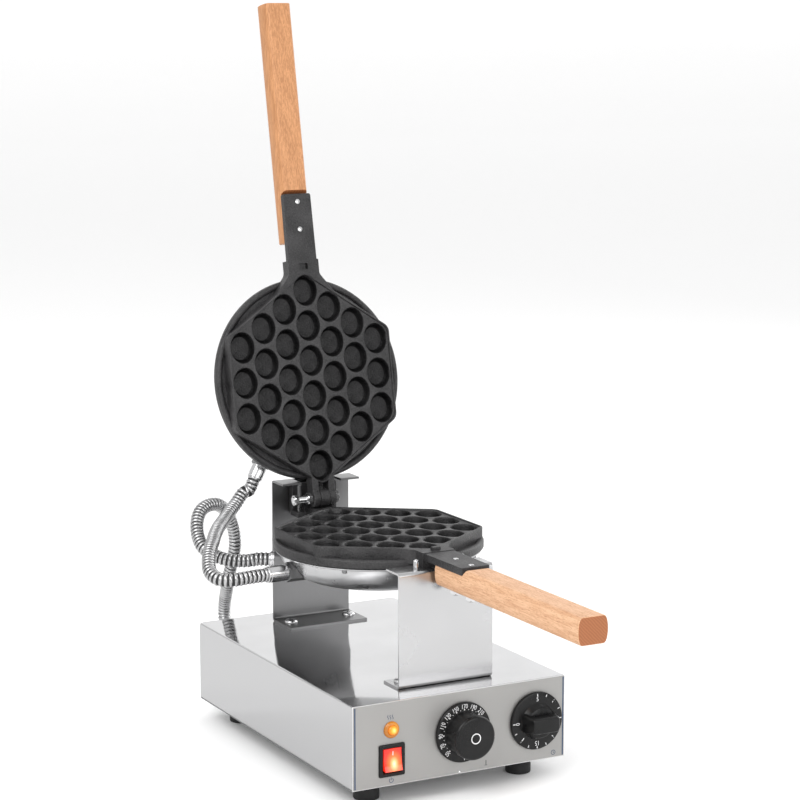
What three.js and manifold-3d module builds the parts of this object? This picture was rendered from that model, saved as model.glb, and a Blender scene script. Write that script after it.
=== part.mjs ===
// Bubble waffle maker: a stainless base box that carries two round cast irons on a rear hinge.
// Millimetres, +Z up, front towards -Y. The irons are drawn open, as they stand between two waffles.
import * as THREE from 'three';
import { mergeVertices } from 'three/addons/utils/BufferGeometryUtils.js';
import Module from 'manifold-3d';

const wasm = await Module();
wasm.setup();
const { Manifold, Mesh: ManifoldMesh } = wasm;

// Driving dimensions
const gap = 0.3;       // clearance between neighbouring pieces
const over = 2;        // overrun of a cutting tool past the face that it cuts
const weld = 1e-4;     // vertices closer than this are one
const base = { width: 240, depth: 363, height: 84.5, wall: 1.2, bend: 4, lip: 14 };
const foot = { height: 21, radius: 13, topRadius: 10.5, insetX: 33, insetY: 35, hole: 3.5, recess: 9, edge: 1 };
const iron = {
  centreY: 173, matingZ: 236.65, discRadius: 109, discThickness: 6, thickness: 20,
  halfWidth: 97, cornerS: 50, tipS: 116, cornerRadius: 8, rim: 2.2, rimDepth: 1.8, closedGap: 0.6,
};
const openAngle = 101.1;
const cavity = { pitchS: 37.95, pitchX: 26.6, radiusX: 13.6, radiusS: 16.2, depth: 11.5 };
const cavityColumns = 3;      // columns on each side of the middle one
const cavityRows = 6;         // cavities in the middle column
const cavityShares = [[1, 0], [0.94, 0.45], [0.64, 1]];
const cover = { depth: 30, rimRadius: 106, beadHeight: 2.4, wall: 1.2 };
const coverShares = [[0.98, 0.1], [0.9, 0.5], [0.72, 0.87], [0.5, 1]];
const tang = { width: 34, tipWidth: 32.5, end: 200, thickness: 8, boltNear: 161.5, boltFar: 191.5, edge: 2 };
const block = { radius: 18.2, start: 104, end: 128.5 };
const peg = { width: 8.5, length: 5.5, height: 3, s: 121 };
const handle = { start: 147.5, end: 408, top: 2.8, height: 28, width: 34, corner: 7, endInset: 2, endLength: 6 };
const bolt = { shank: 3, head: 4.8, headHeight: 1.2, nut: 5.8, nutHeight: 5, tail: 1.5 };
const hinge = { back: 129.6, rise: 7, pin: 4, eye: 9.5, lugHalf: 5.5, ear: 7.5, root: 28, webDepth: 15 };
const hingeEnds = { left: 30, head: 7, headHeight: 4, nut: 7, nutHeight: 5.5, lockNut: 6.2, lockHeight: 4.5, tail: 1 };
const pivot = { halfWidth: 27, thickness: 8, above: 21, below: 13, neckHalf: 13, neckTop: 3.4, neckBottom: 15, neckStart: 100 };
const spindle = { radius: 7, bush: 10, bushFlange: 13.5, flangeHeight: 2, nut: 12.5, nutHeight: 7, tail: 3 };
const rear = { frontY: 287, plateY: 330, topZ: 262, halfWidth: 46, sheet: 3, topDepth: 25, notch: 23.6, bend: 5 };
const front = { plateY: 30, topZ: 222, halfWidth: 53, sheet: 2.5, bottomDepth: 32, topDepth: 27, bend: 5 };
const screw = { shank: 2.8, head: 7.2, headHeight: 3.4, length: 10, rearX: 35, rearY: 310, frontX: 40, frontY: 50 };
const stopPin = { radius: 3, height: 9, x: 26, y: 45, root: 2, bore: 2 };
const stay = { radius: 2.2, x: 24.3, above: 14.6, below: 12, lug: 4.5, lugHeight: 6 };
const overlay = { thickness: 0.5, border: 3.2 };
const lamp = { inset: 42, z: 56.4, radius: 6.4, bezel: 8.4, proud: 2.4, dome: 6.5, depth: 22, wall: 1.2 };
const rocker = {
  inset: 42.3, z: 26, width: 28.3, height: 32.6, bezel: 2.2, lip: 2, depth: 24,
  paddleWidth: 19.4, paddleHeight: 23.6, paddleOut: 2.6, paddleMid: 1.1, paddleBack: 7, backInset: 4,
  axisY: 5, clearance: 1.4, floor: 14, tilt: 7,
};
const knob = { skirtDepth: 3.4, edge: 2.6, chamfer: 1.3, stand: 1.2 };
const thermo = { x: 1, z: 43, skirt: 30.5, capRoot: 26.2, capTip: 22.5, proud: 28 };
const timer = { inset: 35, z: 42.5, skirt: 29.5, hub: 18, hubTip: 15.5, hubDepth: 8, proud: 24 };
const bar = { rootLength: 36, rootHeight: 20, tipLength: 30, tipHeight: 15.5, corner: 3.4 };
const control = { width: 44, height: 38, depth: 24, neck: 6.5, shaft: 3.2, socket: 8, seat: 12 };
const terminal = { width: 54, depth: 24, height: 18, x: -35, y: 250, slot: 5, slots: 4, slotDepth: 8 };
const gland = { nut: 10.5, body: 7.5, ferrule: 8.4, bore: 4.8, depth: 35.4, inner: 84 };
const cordGland = { x: 60, z: 30, nut: 12, body: 8, nutDepth: 8, cap: 10, tip: 7, out: 24, bore: 4, inside: 8 };
const linkLower = { nutEnd: 108.5, end: 131, turn: 177.8 };    // turns run from an iron's own +X to its +Y
const linkUpper = { nutEnd: 106.5, end: 121.2, turn: -57.5 };
const supplyIron = { nutEnd: 107.5, end: 112, turn: -150 };
const supplyBase = { x: -60, z: 61, nutDepth: 8, end: 25 };
const element = { radius: 74, tube: 4, gapAngle: 26 };
const hose = { crest: 7.4, root: 6.5, bore: 4.9, pitch: 6.9 };
const sides = { small: 8, medium: 16, large: 24, disc: 42, cavity: 10, ring: 8, element: 6 };
const elementSteps = 24;
const domeSteps = 5;
const boreRibs = 5;
const vent = { count: 7, length: 60, width: 4, pitch: 9, lowShare: 0.55, highShare: 0.85 };

// Hose routes from gland to gland, at their real places round the machine
const linkRoute = [
  [-78, 334, 252], [-92, 327, 241], [-106, 314, 235], [-120, 297, 231], [-134, 278, 229], [-146, 260, 226],
  [-156, 243, 223], [-167, 226, 218], [-176, 209, 211], [-181, 193, 204], [-178, 178, 200], [-166, 169, 200],
];
const supplyRoute = [
  [-115, 239, 200], [-132, 248, 200], [-144, 261, 203], [-151, 278, 209], [-150, 294, 217], [-145, 309, 228],
  [-136, 322, 237], [-124, 332, 241], [-109, 341, 240], [-95, 351, 232], [-84, 360, 219], [-76, 367, 203],
  [-72, 373, 185], [-71, 382, 166], [-70, 394, 148], [-66, 408, 132], [-61, 424, 117], [-57, 437, 101],
  [-55, 442, 85], [-56, 434, 70],
];

// Places worked out from the driving dimensions
const boxBottom = foot.height;
const boxTop = foot.height + base.height;
const halfBase = base.width / 2;
lamp.x = lamp.inset - halfBase;        // the lamp and the rocker keep to the left side, the timer to the right
rocker.x = rocker.inset - halfBase;
timer.x = halfBase - timer.inset;
const hingeY = iron.centreY + hinge.back;
const hingeZ = iron.matingZ + hinge.rise;
const earStart = hinge.lugHalf + gap;
const earEnd = earStart + hinge.ear;
const pivotBack = rear.plateY - gap;
const pivotFront = pivotBack - pivot.thickness;
const ironCentre = [0, iron.centreY, iron.matingZ];

// Solid helpers
function solid(source) {
  let g = source.clone();
  g.deleteAttribute('normal');
  g.deleteAttribute('uv');
  g = mergeVertices(g, weld);
  const made = new Manifold(new ManifoldMesh({
    numProp: 3,
    vertProperties: new Float32Array(g.attributes.position.array),
    triVerts: new Uint32Array(g.index.array),
  }));
  return made.volume() < 0 ? turnedRound(g) : made;
}

function turnedRound(g) {
  const triVerts = new Uint32Array(g.index.array);
  for (let i = 0; i < triVerts.length; i += 3) {
    [triVerts[i + 1], triVerts[i + 2]] = [triVerts[i + 2], triVerts[i + 1]];
  }
  const vertProperties = new Float32Array(g.attributes.position.array);
  return new Manifold(new ManifoldMesh({ numProp: 3, vertProperties, triVerts }));
}

function geometryOf(body) {
  const mesh = body.getMesh();
  const g = new THREE.BufferGeometry();
  g.setAttribute('position', new THREE.BufferAttribute(new Float32Array(mesh.vertProperties), 3));
  g.setIndex(new THREE.BufferAttribute(new Uint32Array(mesh.triVerts), 1));
  return g;
}

// A box between two corners
function slab([x0, y0, z0], [x1, y1, z1]) {
  const g = new THREE.BoxGeometry(x1 - x0, y1 - y0, z1 - z0);
  g.translate((x0 + x1) / 2, (y0 + y1) / 2, (z0 + z1) / 2);
  return solid(g);
}

// A piece drawn along Z is laid along another axis; what was Z then runs along that axis
function lay(body, axis) {
  if (axis === 'x') return body.rotate([0, 90, 0]);
  if (axis === 'y') return body.rotate([-90, 0, 0]);
  return body;
}

// A cylinder or cone along an axis, from a to b, round the line through place
function rod(axis, radius, a, b, place, count, endRadius = radius) {
  const g = new THREE.CylinderGeometry(endRadius, radius, b - a, count);
  g.rotateX(Math.PI / 2);
  g.translate(0, 0, (a + b) / 2);
  return lay(solid(g), axis).translate(place);
}

// A turned piece along an axis, from [radius, distance] points
function turned(axis, profile, place, count) {
  const g = new THREE.LatheGeometry(profile.map(([r, z]) => new THREE.Vector2(r, z)), count);
  g.rotateX(Math.PI / 2);
  return lay(solid(g), axis).translate(place);
}

// An outline of [x, y] points pushed along Z from a to b
function prism(points, a, b) {
  const shape = new THREE.Shape(points.map(([x, y]) => new THREE.Vector2(x, y)));
  const g = new THREE.ExtrudeGeometry(shape, { depth: b - a, bevelEnabled: false });
  g.translate(0, 0, a);
  return solid(g);
}

// An outline of [x, z] points pushed along Y, and one of [y, z] points pushed along X
function prismY(points, a, b) {
  return prism(points, -b, -a).rotate([90, 0, 0]);
}

function prismX(points, a, b) {
  return prism(points, a, b).rotate([90, 0, 90]);
}

// The same outline with the chosen corners cut round
function rounded(points, radius, steps, chosen = () => true) {
  const out = [];
  points.forEach((p, i) => {
    if (!chosen(i)) {
      out.push(p);
      return;
    }
    const here = new THREE.Vector2(...p);
    const before = new THREE.Vector2(...points[(i + points.length - 1) % points.length]).sub(here).normalize();
    const after = new THREE.Vector2(...points[(i + 1) % points.length]).sub(here).normalize();
    const reach = radius / Math.tan(Math.acos(before.dot(after)) / 2);
    const curve = new THREE.QuadraticBezierCurve(
      here.clone().addScaledVector(before, reach), here, here.clone().addScaledVector(after, reach),
    );
    curve.getPoints(steps).forEach((q) => out.push([q.x, q.y]));
  });
  return out;
}

// Closed rings of equal point count, skinned one to the next and capped at both ends
function loft(rings) {
  const count = rings[0].length;
  const vertices = rings.flat(2);
  const index = [];
  for (let r = 0; r + 1 < rings.length; r += 1) {
    for (let i = 0; i < count; i += 1) {
      const a = r * count + i;
      const b = r * count + ((i + 1) % count);
      index.push(a, b, a + count, b, b + count, a + count);
    }
  }
  const last = (rings.length - 1) * count;
  for (let i = 1; i + 1 < count; i += 1) {
    index.push(0, i + 1, i);
    index.push(last, last + i, last + i + 1);
  }
  const g = new THREE.BufferGeometry();
  g.setAttribute('position', new THREE.BufferAttribute(new Float32Array(vertices), 3));
  g.setIndex(index);
  return solid(g);
}

function join(...bodies) {
  return bodies.reduce((all, next) => all.add(next));
}

function cut(body, ...tools) {
  return tools.reduce((left, tool) => left.subtract(tool), body);
}

// Finishes
const looks = {
  polished: { color: 0xd0ced0, roughness: 0.16, metalness: 1 },
  brushed: { color: 0xb0b3ae, roughness: 0.34, metalness: 0.9 },
  grey_steel: { color: 0x838184, roughness: 0.3, metalness: 1 },
  cast: { color: 0x3c3a3c, roughness: 0.62, metalness: 0.3 },
  zinc: { color: 0xb9bbbd, roughness: 0.28, metalness: 1 },
  black: { color: 0x2a2829, roughness: 0.45, metalness: 0 },
  rubber: { color: 0x1d1c1d, roughness: 0.85, metalness: 0 },
  beech: { color: 0xe9b48a, roughness: 0.55, metalness: 0 },
  amber: { color: 0xf5a21c, roughness: 0.2, metalness: 0 },
  red: { color: 0xe8341c, roughness: 0.25, metalness: 0 },
  ceramic: { color: 0xe6e2d8, roughness: 0.6, metalness: 0 },
  bronze: { color: 0xb5923f, roughness: 0.35, metalness: 1 },
};
const finishes = {};
for (const [name, look] of Object.entries(looks)) finishes[name] = new THREE.MeshStandardMaterial({ ...look, name });

function piece(parent, name, body, finish) {
  const mesh = new THREE.Mesh(body.isBufferGeometry ? body : geometryOf(body), finishes[finish]);
  mesh.name = name;
  parent.add(mesh);
}

const machine = new THREE.Group();
const stand = new THREE.Group();
machine.add(stand);

// Base box: a folded cover over a bottom plate, with a panel at each end
function footPlaces() {
  const x = halfBase - foot.insetX;
  const far = base.depth - foot.insetY;
  return {
    front_left: [-x, foot.insetY, 0], front_right: [x, foot.insetY, 0],
    rear_left: [-x, far, 0], rear_right: [x, far, 0],
  };
}

function screwPlaces() {
  return {
    rear_bracket_screw_left: [-screw.rearX, screw.rearY, rear.sheet],
    rear_bracket_screw_right: [screw.rearX, screw.rearY, rear.sheet],
    front_bracket_screw_left: [-screw.frontX, screw.frontY, front.sheet],
    front_bracket_screw_right: [screw.frontX, screw.frontY, front.sheet],
  };
}

// Outline of the box seen from the front, with its two upper corners bent round
function boxOutline(inset, bottom) {
  const x = halfBase - inset;
  const z = boxTop - inset;
  return rounded([[-x, bottom], [x, bottom], [x, z], [-x, z]], base.bend - inset, 4, (i) => i > 1);
}

function makeBaseCover() {
  const low = boxBottom + base.wall + gap;
  const y0 = base.wall + gap;
  const y1 = base.depth - base.wall - gap;
  const hollow = prismY(boxOutline(base.wall, low - over), y0 - over, y1 + over);
  const holes = Object.values(screwPlaces()).map(([x, y]) =>
    rod('z', screw.shank + gap, boxTop - base.wall - over, boxTop + over, [x, y, 0], sides.small));
  return cut(prismY(boxOutline(0, low), y0, y1), hollow, ...holes);
}

function makeBottomPlate() {
  const y0 = base.wall + gap;
  const z1 = boxBottom + base.wall;
  const plate = slab([-halfBase, y0, boxBottom], [halfBase, base.depth - y0, z1]);
  const lipX = halfBase - base.wall - gap;
  const lips = [-1, 1].map((side) => slab(
    [side < 0 ? -lipX : lipX - base.wall, y0, boxBottom],
    [side < 0 ? base.wall - lipX : lipX, base.depth - y0, boxBottom + base.lip],
  ));
  const holes = Object.values(footPlaces()).map((place) =>
    rod('z', foot.hole, boxBottom - over, z1 + over, place, sides.small));
  for (let i = 0; i < vent.count; i += 1) {
    const y = base.depth / 2 + (i - (vent.count - 1) / 2) * vent.pitch;
    holes.push(slab([-vent.length / 2, y - vent.width / 2, boxBottom - over],
      [vent.length / 2, y + vent.width / 2, z1 + over]));
  }
  return cut(join(plate, ...lips), ...holes);
}

function panelHoles(y0, y1) {
  const hole = (radius, x, z) => rod('y', radius, y0, y1, [x, 0, boxBottom + z], sides.medium);
  const x = rocker.width / 2 - rocker.bezel;
  const z = rocker.height / 2 - rocker.bezel;
  return [
    hole(lamp.radius + gap, lamp.x, lamp.z),
    hole(control.neck + gap, thermo.x, thermo.z),
    hole(control.neck + gap, timer.x, timer.z),
    slab([rocker.x - x - gap, y0, boxBottom + rocker.z - z - gap],
      [rocker.x + x + gap, y1, boxBottom + rocker.z + z + gap]),
  ];
}

function makeFrontPanel() {
  return cut(prismY(boxOutline(0, boxBottom), 0, base.wall), ...panelHoles(-over, base.wall + over));
}

function makeOverlay() {
  const x = halfBase - overlay.border;
  const z0 = boxBottom + overlay.border;
  const z1 = boxTop - overlay.border;
  const sheet = slab([-x, -overlay.thickness, z0], [x, 0, z1]);
  return cut(sheet, ...panelHoles(-overlay.thickness - over, over));
}

function makeBackPanel() {
  const y0 = base.depth - base.wall;
  const y1 = base.depth;
  const slots = [];
  for (let i = 0; i < vent.count; i += 1) {
    const x = (i - (vent.count - 1) / 2) * vent.pitch;
    slots.push(slab([x - vent.width / 2, y0 - over, boxBottom + base.height * vent.lowShare],
      [x + vent.width / 2, y1 + over, boxBottom + base.height * vent.highShare]));
  }
  return cut(
    prismY(boxOutline(0, boxBottom), y0, y1), ...slots,
    rod('y', cordGland.body + gap, y0 - over, y1 + over, [cordGland.x, 0, boxBottom + cordGland.z], sides.medium),
    rod('y', gland.body + gap, y0 - over, y1 + over, [supplyBase.x, 0, supplyBase.z], sides.medium),
  );
}

function makeFoot(place) {
  return turned('z', [
    [0, foot.recess], [foot.hole, foot.recess], [foot.hole, 0], [foot.radius - foot.edge, 0],
    [foot.radius, foot.edge], [foot.radius, foot.recess], [foot.topRadius, foot.height], [0, foot.height],
  ], place, sides.large);
}

piece(stand, 'base_cover', makeBaseCover(), 'polished');
piece(stand, 'bottom_plate', makeBottomPlate(), 'brushed');
piece(stand, 'front_panel', makeFrontPanel(), 'polished');
piece(stand, 'control_overlay', makeOverlay(), 'brushed');
piece(stand, 'back_panel', makeBackPanel(), 'brushed');
for (const [place, at] of Object.entries(footPlaces())) piece(stand, `foot_${place}`, makeFoot(at), 'rubber');

// Brackets: two C-shaped sheets that carry the irons over the base
function bentSheet(spec, bottomFar, topFar, wallY, towards) {
  const t = spec.sheet;
  const outer = [[bottomFar, boxTop], [wallY, boxTop], [wallY, spec.topZ], [topFar, spec.topZ]];
  const inner = [
    [topFar, spec.topZ - t], [wallY + towards * t, spec.topZ - t],
    [wallY + towards * t, boxTop + t], [bottomFar, boxTop + t],
  ];
  const outline = [...outer, ...inner];
  const round = rounded(outline, spec.bend, 4, (i) => i === 1 || i === 2);
  const first = round.length - inner.length;
  const bent = rounded(round, spec.bend - t, 3, (i) => i === first + 1 || i === first + 2);
  return prismX(bent, -spec.halfWidth, spec.halfWidth);
}

function makeRearBracket() {
  const back = rear.plateY + rear.sheet;
  const sheet = bentSheet(rear, rear.frontY, rear.plateY - rear.topDepth, back, -1);
  const notch = slab([-rear.notch, rear.plateY - rear.topDepth - over, rear.topZ - rear.sheet - over],
    [rear.notch, rear.plateY - gap, rear.topZ + over]);
  const holes = [-1, 1].map((side) => rod('z', screw.shank + gap, boxTop - over, boxTop + rear.sheet + over,
    [side * screw.rearX, screw.rearY, 0], sides.small));
  return cut(sheet, notch, ...holes,
    rod('y', spindle.bush + gap, rear.plateY - over, back + over, [0, 0, iron.matingZ], sides.medium));
}

function makeFrontBracket() {
  const sheet = bentSheet(front, front.plateY + front.bottomDepth, front.plateY + front.topDepth, front.plateY, 1);
  const cradle = rod('y', block.radius + gap, front.plateY - over, front.plateY + front.topDepth + over,
    ironCentre.map((v, i) => (i === 2 ? v : 0)), sides.large);
  const holes = [-1, 1].flatMap((side) => [
    rod('z', screw.shank + gap, boxTop - over, boxTop + front.sheet + over,
      [side * screw.frontX, screw.frontY, 0], sides.small),
    rod('z', stopPin.bore + gap, front.topZ - front.sheet - over, front.topZ + over,
      [side * stopPin.x, stopPin.y, 0], sides.small),
  ]);
  return cut(sheet, cradle, ...holes);
}

function makeScrew([x, y, sheet]) {
  const seat = boxTop + sheet + gap / 2;
  const crown = screw.headHeight / 2;
  return turned('z', [
    [0, seat - screw.length], [screw.shank, seat - screw.length], [screw.shank, seat], [screw.head, seat],
    [screw.head, seat + crown], [screw.head - crown, seat + screw.headHeight], [0, seat + screw.headHeight],
  ], [x, y, 0], sides.small);
}

function makeStopPin(x) {
  const seat = front.topZ + gap / 2;
  const low = front.topZ - front.sheet - stopPin.root;
  return turned('z', [
    [0, low], [stopPin.bore, low], [stopPin.bore, seat], [stopPin.radius, seat],
    [stopPin.radius, seat + stopPin.height - gap], [stopPin.radius - gap, seat + stopPin.height],
    [0, seat + stopPin.height],
  ], [x, stopPin.y, 0], sides.small);
}

piece(stand, 'rear_bracket', makeRearBracket(), 'grey_steel');
piece(stand, 'front_bracket', makeFrontBracket(), 'polished');
for (const [name, place] of Object.entries(screwPlaces())) piece(stand, name, makeScrew(place), 'zinc');
piece(stand, 'stop_pin_left', makeStopPin(-stopPin.x), 'zinc');
piece(stand, 'stop_pin_right', makeStopPin(stopPin.x), 'zinc');

// Pivot: a head with a spindle in the rear bracket, and the hinge pin through its lug
function makePivotHead() {
  const z0 = iron.matingZ - pivot.below;
  const z1 = iron.matingZ + pivot.above;
  const spindleEnd = rear.plateY + rear.sheet + spindle.flangeHeight + spindle.nutHeight + spindle.tail;
  const plate = slab([-pivot.halfWidth, pivotFront, z0], [pivot.halfWidth, pivotBack, z1]);
  const lug = join(
    rod('x', hinge.eye, -hinge.lugHalf, hinge.lugHalf, [0, hingeY, hingeZ], sides.medium),
    slab([-hinge.lugHalf, hingeY, hingeZ - hinge.eye * Math.SQRT1_2],
      [hinge.lugHalf, pivotFront + gap, hingeZ + hinge.eye]),
  );
  const stayLug = slab([-stay.x - stay.lug, hingeY, z0], [-stay.x + stay.lug, pivotFront + gap, z0 + stay.lugHeight]);
  const stub = rod('y', spindle.radius, pivotBack - gap, spindleEnd, [0, 0, iron.matingZ], sides.medium);
  return cut(join(plate, lug, stayLug, stub),
    rod('x', hinge.pin + gap, -hinge.lugHalf - over, hinge.lugHalf + over, [0, hingeY, hingeZ], sides.small),
    rod('z', stay.radius + gap, z0 - over, z0 + stay.lugHeight + over, stayPlace(), sides.small));
}

function stayPlace() {
  return [-stay.x, hingeY + hinge.pin + stay.radius + 2 * gap, 0];
}

function makeHexNut(axis, radius, a, b, place, bore, count) {
  return cut(rod(axis, radius, a, b, place, 6), rod(axis, bore, a - over, b + over, place, count));
}

function makePivotBush() {
  const y0 = rear.plateY + gap;
  const y1 = rear.plateY + rear.sheet;
  return turned('y', [
    [spindle.radius + gap, y0], [spindle.bush, y0], [spindle.bush, y1 + gap / 2], [spindle.bushFlange, y1 + gap / 2],
    [spindle.bushFlange, y1 + spindle.flangeHeight], [spindle.radius + gap, y1 + spindle.flangeHeight],
    [spindle.radius + gap, y0],
  ], [0, 0, iron.matingZ], sides.medium);
}

function makeHingePin() {
  const headAt = earEnd + gap;
  return join(
    rod('x', hinge.pin, -hingeEnds.left - hingeEnds.lockHeight - hingeEnds.tail, headAt + gap,
      [0, hingeY, hingeZ], sides.small),
    rod('x', hingeEnds.head, headAt, headAt + hingeEnds.headHeight, [0, hingeY, hingeZ], 6),
  );
}

function makeStayRod() {
  return rod('z', stay.radius, iron.matingZ - stay.below, hingeZ + stay.above, stayPlace(), sides.small);
}

const hingePlace = [0, hingeY, hingeZ];
const bushEnd = rear.plateY + rear.sheet + spindle.flangeHeight;
piece(stand, 'pivot_head', makePivotHead(), 'cast');
piece(stand, 'pivot_bush', makePivotBush(), 'bronze');
piece(stand, 'pivot_nut', makeHexNut('y', spindle.nut, bushEnd + gap, bushEnd + gap + spindle.nutHeight,
  [0, 0, iron.matingZ], spindle.radius + gap, sides.medium), 'zinc');
piece(stand, 'hinge_pin', makeHingePin(), 'zinc');
piece(stand, 'hinge_nut', makeHexNut('x', hingeEnds.nut, -earEnd - gap - hingeEnds.nutHeight, -earEnd - gap,
  hingePlace, hinge.pin + gap, sides.small), 'zinc');
piece(stand, 'hinge_lock_nut', makeHexNut('x', hingeEnds.lockNut, -hingeEnds.left - hingeEnds.lockHeight,
  -hingeEnds.left, hingePlace, hinge.pin + gap, sides.small), 'zinc');
piece(stand, 'stay_rod', makeStayRod(), 'grey_steel');

// Irons. Each is drawn in its own frame: X across, Y from the hinge to the handle, Z away from the mating face
function ironOutline(inset) {
  const w = iron.halfWidth;
  const rise = iron.tipS - iron.cornerS;
  const edge = Math.hypot(w, rise);
  const corner = (w * iron.tipS - inset * edge - rise * (w - inset)) / w;
  const tip = iron.tipS - inset * edge / w;
  const x = w - inset;
  return rounded([[0, -tip], [x, -corner], [x, corner], [0, tip], [-x, corner], [-x, -corner]],
    iron.cornerRadius, 4);
}

function cavityPlaces() {
  const out = [];
  for (let i = -cavityColumns; i <= cavityColumns; i += 1) {
    const count = cavityRows - Math.abs(i);
    for (let j = 0; j < count; j += 1) out.push([i * cavity.pitchX, (j - (count - 1) / 2) * cavity.pitchS]);
  }
  return out;
}

function cavityTool() {
  const deck = iron.rimDepth;
  const profile = [[0, gap], [1, gap], ...cavityShares.map(([r, d]) => [r, deck + d * cavity.depth])];
  profile.push([0, deck + cavity.depth]);
  return turned('z', profile, [0, 0, 0], sides.cavity).scale([cavity.radiusX, cavity.radiusS, 1]);
}

function makeCasting(...extras) {
  const hexDepth = iron.thickness - iron.discThickness;
  const halfWidths = [tang.width / 2, tang.tipWidth / 2];
  const strap = prism(rounded([
    [-halfWidths[0], block.start], [halfWidths[0], block.start],
    [halfWidths[1], tang.end], [-halfWidths[1], tang.end],
  ], tang.edge, 2, (i) => i > 1), gap, gap + tang.thickness);
  const round = rod('y', block.radius, block.start, block.end, [0, 0, 0], sides.large);
  const above = slab([-block.radius - over, block.start - over, -block.radius - over],
    [block.radius + over, block.end + over, gap]);
  const casting = join(
    prism(ironOutline(0), gap, hexDepth + gap),
    rod('z', iron.discRadius, hexDepth, iron.thickness, [0, 0, 0], sides.disc),
    strap, cut(round, above), ...extras,
  );
  const tool = cavityTool();
  const deck = prism(ironOutline(iron.rim), -over, iron.rimDepth);
  const holes = cavityPlaces().map(([x, s]) => tool.translate([x, s, 0]));
  const boltHoles = [tang.boltNear, tang.boltFar].flatMap((s) => [
    rod('z', bolt.shank + gap, -over, tang.thickness + over, [0, s, 0], sides.small),
    rod('z', bolt.head + gap, -over, 2 * gap + bolt.headHeight + gap, [0, s, 0], sides.small),
  ]);
  return cut(casting, deck, ...holes, ...boltHoles);
}

function pegBox(grow, z0, z1) {
  const w = peg.width / 2 + grow;
  const l = peg.length / 2 + grow;
  return slab([-w, peg.s - l, z0], [w, peg.s + l, z1]);
}

function makeLowerPlate() {
  const neckEnd = -(pivotFront - iron.centreY - gap);
  const neck = slab([-pivot.neckHalf, neckEnd, pivot.neckTop], [pivot.neckHalf, -pivot.neckStart, pivot.neckBottom]);
  return join(makeCasting(neck), pegBox(0, -peg.height, gap + over));
}

function makeUpperPlate() {
  const rise = hinge.rise - iron.closedGap;
  const eye = [0, -hinge.back, rise];
  const ears = [-1, 1].map((side) => {
    const a = side < 0 ? -earEnd : earStart;
    const b = side < 0 ? -earStart : earEnd;
    return join(
      rod('x', hinge.eye, a, b, eye, sides.medium),
      slab([a, -hinge.back, gap], [b, -hinge.back + hinge.root, hinge.webDepth]),
    );
  });
  const pinFlats = (hinge.pin + gap) / Math.cos(Math.PI / sides.small);    // the pin's corners clear the bore's flats
  return cut(makeCasting(...ears),
    rod('x', pinFlats, -earEnd - over, earEnd + over, eye, sides.small),
    slab([-hinge.lugHalf - gap, -hinge.back - hinge.eye - gap, rise - hinge.eye - gap],
      [hinge.lugHalf + gap, -hinge.back + hinge.eye + gap, iron.thickness + over]),
    pegBox(2 * gap, -over, gap + peg.height + 2 * gap));
}

// Spun cover under each casting, with a bead at its edge; grow widens it for the pieces that seat on it
function coverProfile(grow) {
  const top = iron.thickness + gap;
  const outer = coverShares.map(([r, d]) => [r * cover.rimRadius + grow, top + d * cover.depth + grow * d]);
  return [[cover.rimRadius + grow, top], [cover.rimRadius + grow, top + cover.beadHeight], ...outer];
}

function makeCover(holes) {
  const top = iron.thickness + gap;
  const outside = coverProfile(0);
  const inside = coverProfile(-cover.wall).map(([r, z]) => [r, Math.max(z, top)]).reverse();
  const floor = top + cover.depth;
  const shell = turned('z', [
    ...outside, [0, floor], [0, floor - cover.wall], ...inside.slice(0, -1), [inside.at(-1)[0], top], outside[0],
  ], [0, 0, 0], sides.disc);
  return cut(shell, ...holes);
}

function makeElement() {
  const half = THREE.MathUtils.degToRad(element.gapAngle / 2);
  const z = iron.thickness + 2 * gap + element.tube;
  const curve = new THREE.CatmullRomCurve3(Array.from({ length: elementSteps + 1 }, (_, i) => {
    const a = -Math.PI / 2 + half + (2 * Math.PI - 2 * half) * (i / elementSteps);
    return new THREE.Vector3(element.radius * Math.cos(a), element.radius * Math.sin(a), z);
  }));
  const section = new THREE.Shape(Array.from({ length: sides.element }, (_, i) => {
    const a = (2 * Math.PI * i) / sides.element;
    return new THREE.Vector2(element.tube * Math.cos(a), element.tube * Math.sin(a));
  }));
  const g = new THREE.ExtrudeGeometry(section, { steps: elementSteps, extrudePath: curve, bevelEnabled: false });
  return solid(g);
}

function makeHandle() {
  const section = (s, inset) => {
    const w = handle.width / 2 - inset;
    const z0 = handle.top + inset;
    const z1 = handle.top + handle.height - inset;
    return rounded([[-w, z0], [w, z0], [w, z1], [-w, z1]], handle.corner, 3).map(([x, z]) => [x, s, z]);
  };
  const body = loft([
    section(handle.start, 0), section(handle.end - handle.endLength, 0), section(handle.end, handle.endInset),
  ]);
  const seat = slab([-handle.width, handle.start - over, -over], [handle.width, tang.end + gap, tang.thickness + 2 * gap]);
  const bores = [tang.boltNear, tang.boltFar].map((s) =>
    rod('z', bolt.shank + gap, -over, handle.top + handle.height + over, [0, s, 0], sides.small));
  return cut(body, seat, ...bores);
}

function makeHandleBolt(s) {
  const head = 2 * gap;
  const end = handle.top + handle.height + gap + bolt.nutHeight + bolt.tail;
  return turned('z', [
    [0, head], [bolt.head, head], [bolt.head, head + bolt.headHeight], [bolt.shank, head + bolt.headHeight],
    [bolt.shank, end], [0, end],
  ], [0, s, 0], sides.small);
}

function makeHandleNut(s) {
  const z0 = handle.top + handle.height + gap;
  return makeHexNut('z', bolt.nut, z0, z0 + bolt.nutHeight, [0, s, 0], bolt.shank + gap, sides.small);
}

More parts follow.
